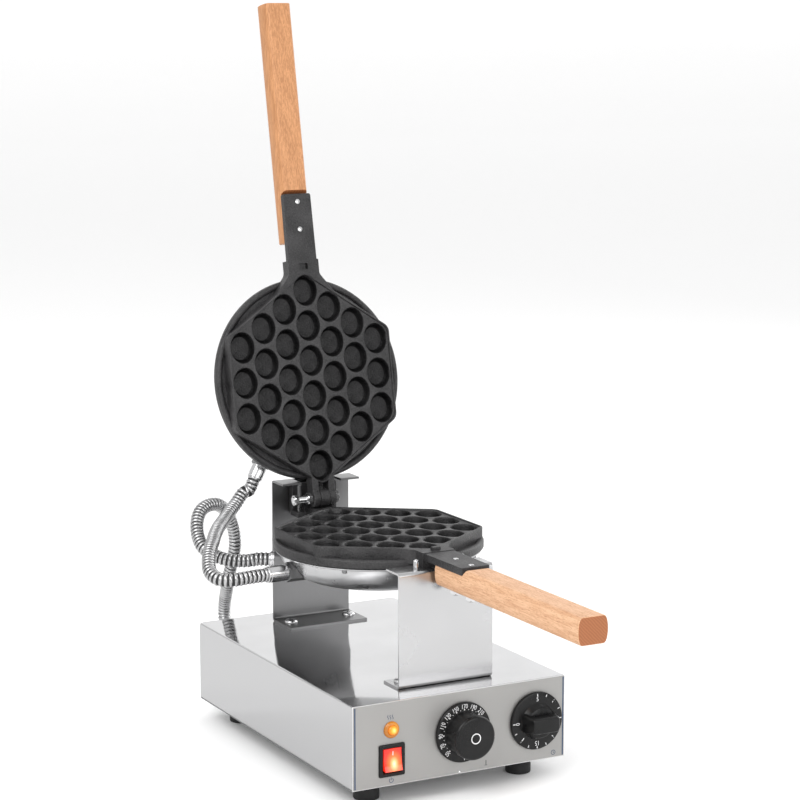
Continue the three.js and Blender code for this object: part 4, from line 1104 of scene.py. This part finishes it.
panel_height = box_top - box_floor
side_lines = [stroke([(x, 1.6), (x, panel_height - 1.6)], 1.4) for x in (-117.6, 117.6)]
wave = [(0.55 * math.sin(k / 3), 4.4 * k / 20 - 2.2) for k in range(21)]
heat_icon = [stroke([(-79 + dx + x, 69.0 + z) for x, z in wave], 0.6) for dx in (-2.6, 0, 2.6)]
power_icon = [stroke(arc(-78, 5.5, 2.2, 35, 325), 0.6), stroke([(-78, 5.8), (-78, 8.5)], 0.6)]
time_icon = [stroke(arc(106.7, 5.8, 2.3, 0, 360)[:-1], 0.55, closed=True),
             stroke([(106.7, 7.4), (106.7, 5.8), (107.9, 5.1)], 0.5)]
printed("panel_print", side_lines + heat_icon + power_icon + time_icon, blue_ink)
printed("panel_pointer", [stroke([(28.4, 4.9), (28.4, 9.6)], 0.9), stroke([(26.9, 4.5), (29.9, 4.5)], 0.5)], dark_ink)
rivet = turned([(0, 0), (1.5, 0), (1.3, -0.5), (0.7, -0.8), (0, -0.85)], 24)
piece("panel_rivet", moved(rivet, LAY_Y, shift(-1.6, 0, box_floor + 1.7)), zinc, "zinc_steel")
print("marks made")

# %% [markdown]
# ## Brackets
# Two bent sheets stand on the box. The rear one carries the pivot of the irons in a hole, the front
# one has a round cradle for the handle block, and each is held by two screws in its foot.

# %% Bent brackets
rear_sheet, front_sheet, bracket_bend = 2.2, 2.0, 4
stop_x, stop_y = 26, 45


def bracket(plate_y0, towards, bottom_far, top_far, top_z, sheet, half):
    """A sheet bent at its foot and its top, both bends turned the same way."""
    outer = [(bottom_far, box_top), (plate_y0, box_top), (plate_y0, top_z), (top_far, top_z)]
    back = plate_y0 + towards * sheet
    inner = [(top_far, top_z - sheet), (back, top_z - sheet), (back, box_top + sheet), (bottom_far, box_top + sheet)]
    outline = rounded(outer + inner, bracket_bend, 10, (1, 2))
    first = len(outline) - len(inner)
    outline = rounded(outline, bracket_bend - sheet, 8, (first + 1, first + 2))
    return moved(extruded(outline, -half, half), SIDEWAYS)


rear = bracket(333, -1, 287, 305, 262, rear_sheet, 46)
notch = extruded(rounded(rectangle(-23.6, 298, 23.6, 329.7), 2, 4, (2, 3)), 240, 270)
spindle_hole = rod(10.3, 320, 340, 48, LAY_Y, shift(z=mating_z))
rear = cut(rear, notch, spindle_hole, *screw_holes(rear_screws, 100, 112))
piece("rear_bracket_sheet", rear, grey_sheet, "grey_steel", "rear_bracket")

front = bracket(30, 1, 62, 57, 222, front_sheet, 53)
cradle = rod(18.5, 20, 70, 64, LAY_Y, shift(z=mating_z))
pin_holes = [rod(2.3, 210, 230, 24, shift(x, stop_y)) for x in (-stop_x, stop_x)]
front = cut(front, cradle, *screw_holes(front_screws, 100, 112), *pin_holes)
piece("front_bracket_sheet", front, light_sheet, "polished_steel", "front_bracket")
print("brackets made")

# %% [markdown]
# Pan-head screws with a cross in the head hold the brackets, and two round-topped pins in the front
# bracket stop the handle block.

# %% Screws and stop pins


def pan_screw(x, y, seat):
    profile = [(0, -10), (2.4, -10), (2.8, -9.4), (2.8, 0), (7.2, 0), (7.2, 1.0), (6.7, 2.0), (5.4, 2.9), (3.4, 3.3),
               (0, 3.4)]
    head = turned([(r, seat + z) for r, z in profile], 48)
    slots = [extruded(centred(a, b), seat + 1.7, seat + 5) for a, b in ((3.1, 0.6), (0.6, 3.1))]
    return moved(cut(head, *slots), shift(x, y))


for end, screws, sheet in (("rear", rear_screws, rear_sheet), ("front", front_screws, front_sheet)):
    for side, (x, y) in screws.items():
        piece(f"{end}_pan_screw_{side}", pan_screw(x, y, box_top + sheet + 0.15), zinc, "zinc_steel",
              f"{end}_bracket_screw_{side}")
pin_seat = 222.15
pin_profile = [(0, 217.5), (2, 217.5), (2, pin_seat), (3, pin_seat), (3, pin_seat + 7.0), (2.6, pin_seat + 8.0),
               (1.7, pin_seat + 8.7), (0, pin_seat + 9)]
for side, x in (("left", -stop_x), ("right", stop_x)):
    piece(f"stop_{side}", moved(turned(pin_profile, 32), shift(x, stop_y)), zinc, "zinc_steel", f"stop_pin_{side}")
print("screws made")

# %% [markdown]
# ## Hinge and pivot
# A cast head stands in front of the rear bracket, with a spindle through it and a nut behind. A lug
# on it takes the hinge pin, and a smaller one takes a stay rod.

# %% Pivot head
hinge_at, spindle_at, stay_at = shift(0, hinge_y, hinge_z), shift(z=mating_z), shift(-24.3, 309.4)
plate = moved(extruded(rounded(rectangle(-27, 223.65, 27, 257.65), 4, 6), 321.7, 329.7, 0.8), UPRIGHT)
eye = rod(eye_radius, -5.5, 5.5, 48, LAY_X, hinge_at, edge=0.4)
web = moved(extruded(rectangle(hinge_y, hinge_z - 6.7, 322, hinge_z + 9.5), -5.5, 5.5, 0.4), SIDEWAYS)
stay_lug = extruded(rectangle(-28.8, hinge_y, -19.8, 322), 223.65, 229.65, 0.5)
head = joined(plate, eye, web, stay_lug, rod(7, 329.4, 345.0, 48, LAY_Y, spindle_at))
head = cut(head, rod(pin_bore_radius, -9, 9, 32, LAY_X, hinge_at), rod(2.5, 220, 233, 24, stay_at))
piece("pivot_casting", head, cast, "cast_aluminium", "pivot_head")
bush = turned([(7.3, 330.3), (10, 330.3), (10, 333.15), (13.5, 333.15), (13.5, 335), (7.3, 335)], 48, closed=True)
piece("pivot_sleeve", moved(bush, LAY_Y, spindle_at), bronze, "bronze", "pivot_bush")
piece("pivot_back_nut", moved(hex_nut(12.5, 335.3, 342.3, 7.3), LAY_Y, spindle_at), zinc, "zinc_steel", "pivot_nut")
print("pivot made")

# %% [markdown]
# The hinge pin goes through the lug and the ears of the upper casting, with two nuts at its left end.

# %% Hinge pin, nuts and stay
pin = joined(rod(4, -35.5, 13.9, 32, LAY_X, edge=0.6), moved(hex_nut(7, 13.6, 17.6, 0), LAY_X))
piece("hinge_bolt", moved(pin, hinge_at), zinc, "zinc_steel", "hinge_pin")
for name, radius, low, high, replaced in (("hinge_inner_nut", 7, -19.1, -13.6, "hinge_nut"),
                                          ("hinge_outer_nut", 6.2, -34.5, -30, "hinge_lock_nut")):
    nut = moved(hex_nut(radius, low, high, pin_bore_radius), LAY_X, hinge_at)
    piece(name, nut, zinc, "zinc_steel", replaced)
piece("hinge_stay", rod(2.2, 224.65, 258.25, 24, stay_at, edge=0.4), nut_steel, "grey_steel", "stay_rod")
print("hinge made")

# %% [markdown]
# ## Dials
# Both knobs carry white marks. A second node tree sets one mark round a dial as often as it is
# needed, and the numbers are short pieces of text turned into meshes.

# %% Marks round a dial


def dial_marks():
    tree, given, result = growth("marks round a dial", [
        ("Count", WHOLE, 9), ("Radius", FLOAT, 26.0), ("Length", FLOAT, 2.0), ("Width", FLOAT, 0.5),
        ("Start", FLOAT, 0.0), ("Step", FLOAT, 0.3), ("Material", MATERIAL, None)])

    def vector(*links):
        return node(tree, "ShaderNodeCombineXYZ", links).outputs["Vector"]

    index = tree.nodes.new("GeometryNodeInputIndex").outputs["Index"]
    angle = maths(tree, "ADD", maths(tree, "MULTIPLY", index, given["Step"]), given["Start"])
    place = vector(("X", maths(tree, "MULTIPLY", maths(tree, "SINE", angle), given["Radius"])),
                   ("Y", maths(tree, "MULTIPLY", maths(tree, "COSINE", angle), given["Radius"])), ("Z", INK / 2))
    size = vector(("X", given["Width"]), ("Y", given["Length"]), ("Z", INK))
    mark = node(tree, "GeometryNodeMeshCube", [("Size", size)])
    points = node(tree, "GeometryNodePoints", [("Count", given["Count"]), ("Position", place)])
    marked = node(tree, "GeometryNodeInstanceOnPoints", [
        ("Points", points.outputs["Points"]), ("Instance", mark.outputs["Mesh"]),
        ("Rotation", vector(("Z", maths(tree, "MULTIPLY", angle, -1.0))))])
    return ending(tree, result, (marked.outputs["Instances"], given["Material"]))


mark_tree = dial_marks()


def round_dial(count, radius, length, width, start, step):
    """Marks round a dial; angles run clockwise from the top, in degrees."""
    return grown(bpy.data.meshes.new("none"), mark_tree, Count=count, Radius=radius, Length=length, Width=width,
                 Start=math.radians(start), Step=math.radians(step), Material=white_ink)


def number(text, radius, degrees, narrow=0.76):
    """A number printed on a dial, its foot towards the centre."""
    curve = bpy.data.curves.new("number", "FONT")
    curve.body = text
    curve.size = 6.6
    curve.align_x, curve.align_y = "CENTER", "CENTER"
    curve.extrude = INK / 2
    curve.resolution_u = 3
    obj = added("number", curve)
    mesh = final_mesh(obj)
    bpy.data.objects.remove(obj)
    rows = [v.co.y for v in mesh.vertices]
    middle = shift(0, -(min(rows) + max(rows)) / 2, INK / 2)
    return moved(outward(mesh), middle, Matrix.Diagonal((narrow, 1, 1, 1)), shift(0, radius), turn("Z", -degrees))


print("dial tools ready")

# %% [markdown]
# ## Thermostat knob
# A black skirt carries the scale, white numbers from 50 to 210 with a dot between each two, and a
# smooth cap with a plain white ring stands on it.

# %% Thermostat knob
skirt_front, cap_front = -5.1, -28.0
cap_profile = [(0, cap_front), (19.4, cap_front), (20.7, -27.6), (21.6, -26.8), (22.2, -25.7), (22.4, -24.6),
               (21.4, -6.2), (21.5, -5.5), (21.8, -5.2), (22.3, skirt_front)]
skirt_profile = [(29.0, skirt_front), (29.9, -4.8), (30.3, -4.3), (30.5, -3.7), (30.5, -1.7), (3.5, -1.7),
                 (3.5, -9.7), (0, -9.7)]
knob = turned(cap_profile + skirt_profile, 128)
piece("thermostat_grip", moved(knob, LAY_Y, shift(thermo_x, 0, thermo_z)), black, "black_plastic",
      "thermostat_knob", body="thermostat")
dial_start, dial_step = -135, 22.5
scale_parts = [number(str(50 + 20 * k), 26.6, dial_start + dial_step * k) for k in range(9)]
scale_parts += [round_dial(9, 23.3, 1.3, 1.3, dial_start, dial_step),
                round_dial(8, 23.3, 0.7, 0.7, dial_start + dial_step / 2, dial_step),
                round_dial(1, 26.2, 4.6, 1.1, 90, 0), round_dial(1, 26.8, 2.4, 0.7, 180, 0)]
ring = turned([(4.4, 0), (5.4, 0), (5.4, INK), (4.4, INK)], 48, closed=True)
for name, mesh, y in (("thermostat_scale", bundle(*scale_parts), skirt_front), ("thermostat_ring", ring, cap_front)):
    piece(name, moved(mesh, turn("X", 90), shift(thermo_x, y, thermo_z)), white_ink, "black_plastic",
          body="thermostat")
print("thermostat made")

# %% [markdown]
# ## Timer knob
# The timer has a flatter hub with a bar across it for the fingers, and a scale in minutes.

# %% Timer knob
hub = turned([(0, -13.1), (14.6, -13.1), (15.6, -12.4), (17.9, -5.8), (18.6, -5.2), (20, skirt_front),
              (28.2, skirt_front), (29.1, -4.7), (29.5, -3.9), (29.5, -1.7), (0, -1.7)], 128)
grip = moved(stacked(*((rounded(centred(length / 2, height / 2), corner, 6), y) for length, height, y, corner in (
    (36, 20, -4.8, 3.4), (31, 16.2, -21.4, 3.4), (30.2, 15.6, -22.9, 3.4), (28.6, 14.0, -23.8, 3.4),
    (27.0, 12.4, -24.0, 2.6)))), UPRIGHT)
timer_form = cut(joined(moved(hub, LAY_Y), grip), rod(3.5, -9.7, 0, 32, LAY_Y))
piece("timer_grip", moved(timer_form, shift(timer_x, 0, timer_z)), black, "black_plastic", "timer_knob", body="timer")
timer_parts = [number(str(5 * k), 22.8, -90 + 90 * k, 0.85) for k in range(4)]
timer_parts.append(round_dial(4, 26.9, 2.6, 0.9, -90, 90))
timer_parts += [round_dial(3, 26.8, 2.4, 0.8, 90 * k + dial_step, dial_step) for k in range(3)]
timer_parts += [round_dial(1, 26.2, 3.8, 0.9, 90 * k + 45, 0) for k in range(2)]
timer_parts.append(round_dial(1, 24.8, 6.0, 0.9, -135, 0))
minutes = moved(bundle(*timer_parts), turn("X", 90), shift(timer_x, skirt_front, timer_z))
piece("timer_scale", minutes, white_ink, "black_plastic", body="timer")
print("timer made")

# %% [markdown]
# ## Lamp and switch
# The pilot lamp is a domed amber lens in a ring of the same plastic. The switch is a red lens that
# rocks in a black frame, with the upright mark of its on side.

# %% Lamp and switch
at_lamp = shift(lamp_x, 0, lamp_z)
rim = turned([(5.2, -3.05), (6.6, -3.05), (7.6, -2.6), (8.3, -1.6), (8.4, -0.65), (6.4, -0.65), (6.4, 22), (5.2, 22)],
             64, closed=True)
piece("lamp_rim", moved(rim, LAY_Y, at_lamp), amber_rim, "amber_lens", "lamp_bezel")
dome = [(4.9 * math.sin(math.radians(a)), -3.05 - 3.4 * math.cos(math.radians(a))) for a in range(0, 91, 9)]
lens = turned([(0, dome[0][1]), *dome[1:], (4.9, 21.7), (0, 21.7)], 64)
piece("lamp_dome", moved(lens, LAY_Y, at_lamp), amber, "amber_lens", "lamp_lens")

frame_plate = stacked(*((rounded(centred(switch_w - e, switch_h - e), 1.6, 5), y)
                        for e, y in ((1.1, -2.65), (0.4, -2.35), (0.0, -1.6), (0.0, -0.65))))
frame_body = extruded(centred(switch_w - 2.2, switch_h - 2.2), -0.95, 24)
well = stacked(*((rounded(centred(9.9 + e, 12.0 + e), 0.8, 3), y)
                 for e, y in ((1.0, -4), (0.8, -2.6), (0.0, -1.8), (0.0, 14))))
housing = moved(cut(joined(frame_plate, frame_body), well), UPRIGHT, shift(rocker_x, 0, rocker_z))
piece("switch_frame", housing, black, "black_plastic", "switch_housing")
rocker = {"place": machine @ shift(rocker_x, 5, rocker_z) @ turn("X", -7), "body": "rocker"}
paddle_side = [(-9.9, 11.2), (-9.25, 8.3), (-8.75, 5.0), (-8.6, 1.5), (-8.6, -1.5), (-8.75, -5.0), (-9.25, -8.3),
               (-9.9, -11.2), (-8.0, -11.2), (2.0, -7.8), (2.0, 7.8), (-8.0, 11.2)]
piece("switch_paddle", moved(extruded(paddle_side, -9.7, 9.7, 0.35), SIDEWAYS), red, "red_lens", "power_rocker",
      **rocker)
on_mark = moved(stroke([(0, 4.5), (0, 8.6)], 0.8), turn("X", 90), shift(0, 0, -6.5), turn("X", 8),
                shift(0, -9.2, 6.5))
piece("switch_mark", on_mark, white_ink, "red_lens", **rocker)
print("lamp and switch made")

# %% [markdown]
# ## Feet and rear fittings
# Four rubber feet with a hollow for the screw, and at the back the gland of the conduit and that of
# the mains lead, which the photograph doesn't show.

# %% Feet and rear fittings
foot_profile = [(0, 9), (3.5, 9), (3.5, 0.6), (4.0, 0), (11.6, 0), (12.6, 0.4), (13, 1.4), (13, 8.4), (12.7, 9.4),
                (11.2, 18.6), (10.5, 20.9), (0, 20.9)]
for end, y in (("front", 35), ("rear", 328)):
    for side, x in (("left", -87), ("right", 87)):
        piece(f"rubber_foot_{end}_{side}", moved(turned(foot_profile, 64), shift(x, y)), rubber, "black_rubber",
              f"foot_{end}_{side}")

inner_end, nut_face, nut_back = 353.8, 363.15, 371.15
at_supply, at_cord = shift(supply_x, 0, supply_z), shift(60, 0, box_floor + 30)
sleeve = turned([(gland_bore, inner_end), (7.5, inner_end), (7.5, 371.4), (8.0, 371.4), (8.4, 371.8), (8.4, 384.8),
                 (7.9, 385.2), (7.9, 385.8), (8.4, 386.2), (8.4, 387.5), (7.9, supply_end),
                 (gland_bore, supply_end)], 48, closed=True)
cap = turned([(4, inner_end), (8, inner_end), (8, 371.0), (10, 371.4), (10.2, 372.4), (9.6, 378), (8.4, 383),
              (7.4, 386.2), (6.8, 387), (4, 387)], 48, closed=True)
supply_nut, cord_nut = hex_nut(10.5, nut_face, nut_back, 7.5), hex_nut(12, nut_face, nut_back, 7.9)
for name, mesh, where, material, slot, replaced in (
    ("supply_nut", supply_nut, at_supply, nut_steel, "zinc_steel", "supply_gland_base"),
    ("supply_ferrule", sleeve, at_supply, zinc, "zinc_steel", "supply_gland_base"),
    ("cord_entry_nut", cord_nut, at_cord, black, "black_plastic", "cord_gland"),
    ("cord_entry_cap", cap, at_cord, black, "black_plastic", "cord_gland"),
):
    piece(name, moved(mesh, LAY_Y, where), material, slot, replaced)
print("feet and fittings made")

# %% [markdown]
# ## What stays as it is
# The plain inner parts keep the rigid model's own shape and get the finish of what they are made of.

# %% Inner parts
kept = {
    "bottom_plate": grey_sheet, "back_panel": panel_sheet, "lower_element": nut_steel, "upper_element": nut_steel,
    "thermostat_body": grey_sheet, "timer_body": grey_sheet, "thermostat_shaft": zinc, "timer_shaft": zinc,
    "terminal_block": ceramic,
}
for name, material in kept.items():
    nodes[name].data.materials.clear()
    nodes[name].data.materials.append(material)
print("inner parts:", len(kept))

# %% [markdown]
# ## Floor and light
# The machine stands on a pale floor that runs up into a pale wall far behind it. Far to the left floor and
# wall turn grey, painted shade for the metal to reflect, and the wall glows more the higher it rises, painted
# light. A large soft light hangs over the machine on the left, with weaker ones at the front and on the right.

# %% Floor and light


def paper():
    material = bpy.data.materials.new("pale floor")
    material.use_nodes = True
    tree = material.node_tree
    surface = tree.nodes["Principled BSDF"]
    surface.inputs["Roughness"].default_value = 0.9
    surface.inputs["Specular IOR Level"].default_value = 0.0
    surface.inputs["Emission Color"].default_value = (1, 1, 1, 1)
    along = node(tree, "ShaderNodeSeparateXYZ", [("Vector", object_place(tree))]).outputs
    # Painted shade: the floor and wall turn grey towards the left.
    shade = spread(tree, along["X"], 0.62, 0.93, -3.5, -1.2)
    tree.links.new(mixed(tree, shade, (0, 0, 0, 1), (1, 1, 1, 1)), surface.inputs["Base Color"])
    # Painted light: the floor glows faintly, and the wall glows more as it rises.
    tree.links.new(spread(tree, along["Z"], 0.03, 0.34, 0.0, 2.2), surface.inputs["Emission Strength"])
    return material


wall_y, sweep_radius, wall_top, floor_half = 10, 3, 14, 16
curve_angles = [math.radians(a) for a in range(10, 91, 10)]
sweep = [(-9, 0), (wall_y, 0), *((wall_y + sweep_radius * math.sin(a), sweep_radius - sweep_radius * math.cos(a))
                                 for a in curve_angles), (wall_y + sweep_radius, wall_top)]
points = [(x, y, z) for y, z in sweep for x in (-floor_half, floor_half)]
faces = [(2 * k, 2 * k + 1, 2 * k + 3, 2 * k + 2) for k in range(len(sweep) - 1)]
floor_mesh = bpy.data.meshes.new("floor")
floor_mesh.from_pydata(points, [], faces)
floor_mesh.materials.append(paper())
floor_mesh.shade_smooth()
floor = added("floor", floor_mesh)


def area_light(name, place, aim, width, height, power):
    data = bpy.data.lights.new(name, "AREA")
    data.shape = "RECTANGLE"
    data.size, data.size_y = width, height
    data.energy = power
    lamp = added(name, data)
    lamp.location = place
    lamp.rotation_euler = (Vector(aim) - Vector(place)).to_track_quat("-Z", "Y").to_euler()


area_light("key", (-2.2, -1.2, 2.6), (0, 0.1, 0.25), 2.4, 2.4, 70)
area_light("front", (0.6, -3.0, 1.1), (0, 0, 0.2), 2.2, 1.4, 22)
area_light("right", (2.6, 0.6, 1.4), (0, 0.1, 0.3), 1.0, 2.2, 26)
world = bpy.data.worlds.new("studio")
world.use_nodes = True
world.node_tree.nodes["Background"].inputs["Color"].default_value = (1, 1, 1, 1)
world.node_tree.nodes["Background"].inputs["Strength"].default_value = 0.9
bpy.context.scene.world = world
bpy.context.scene.view_settings.view_transform = "Standard"
print("stage ready")
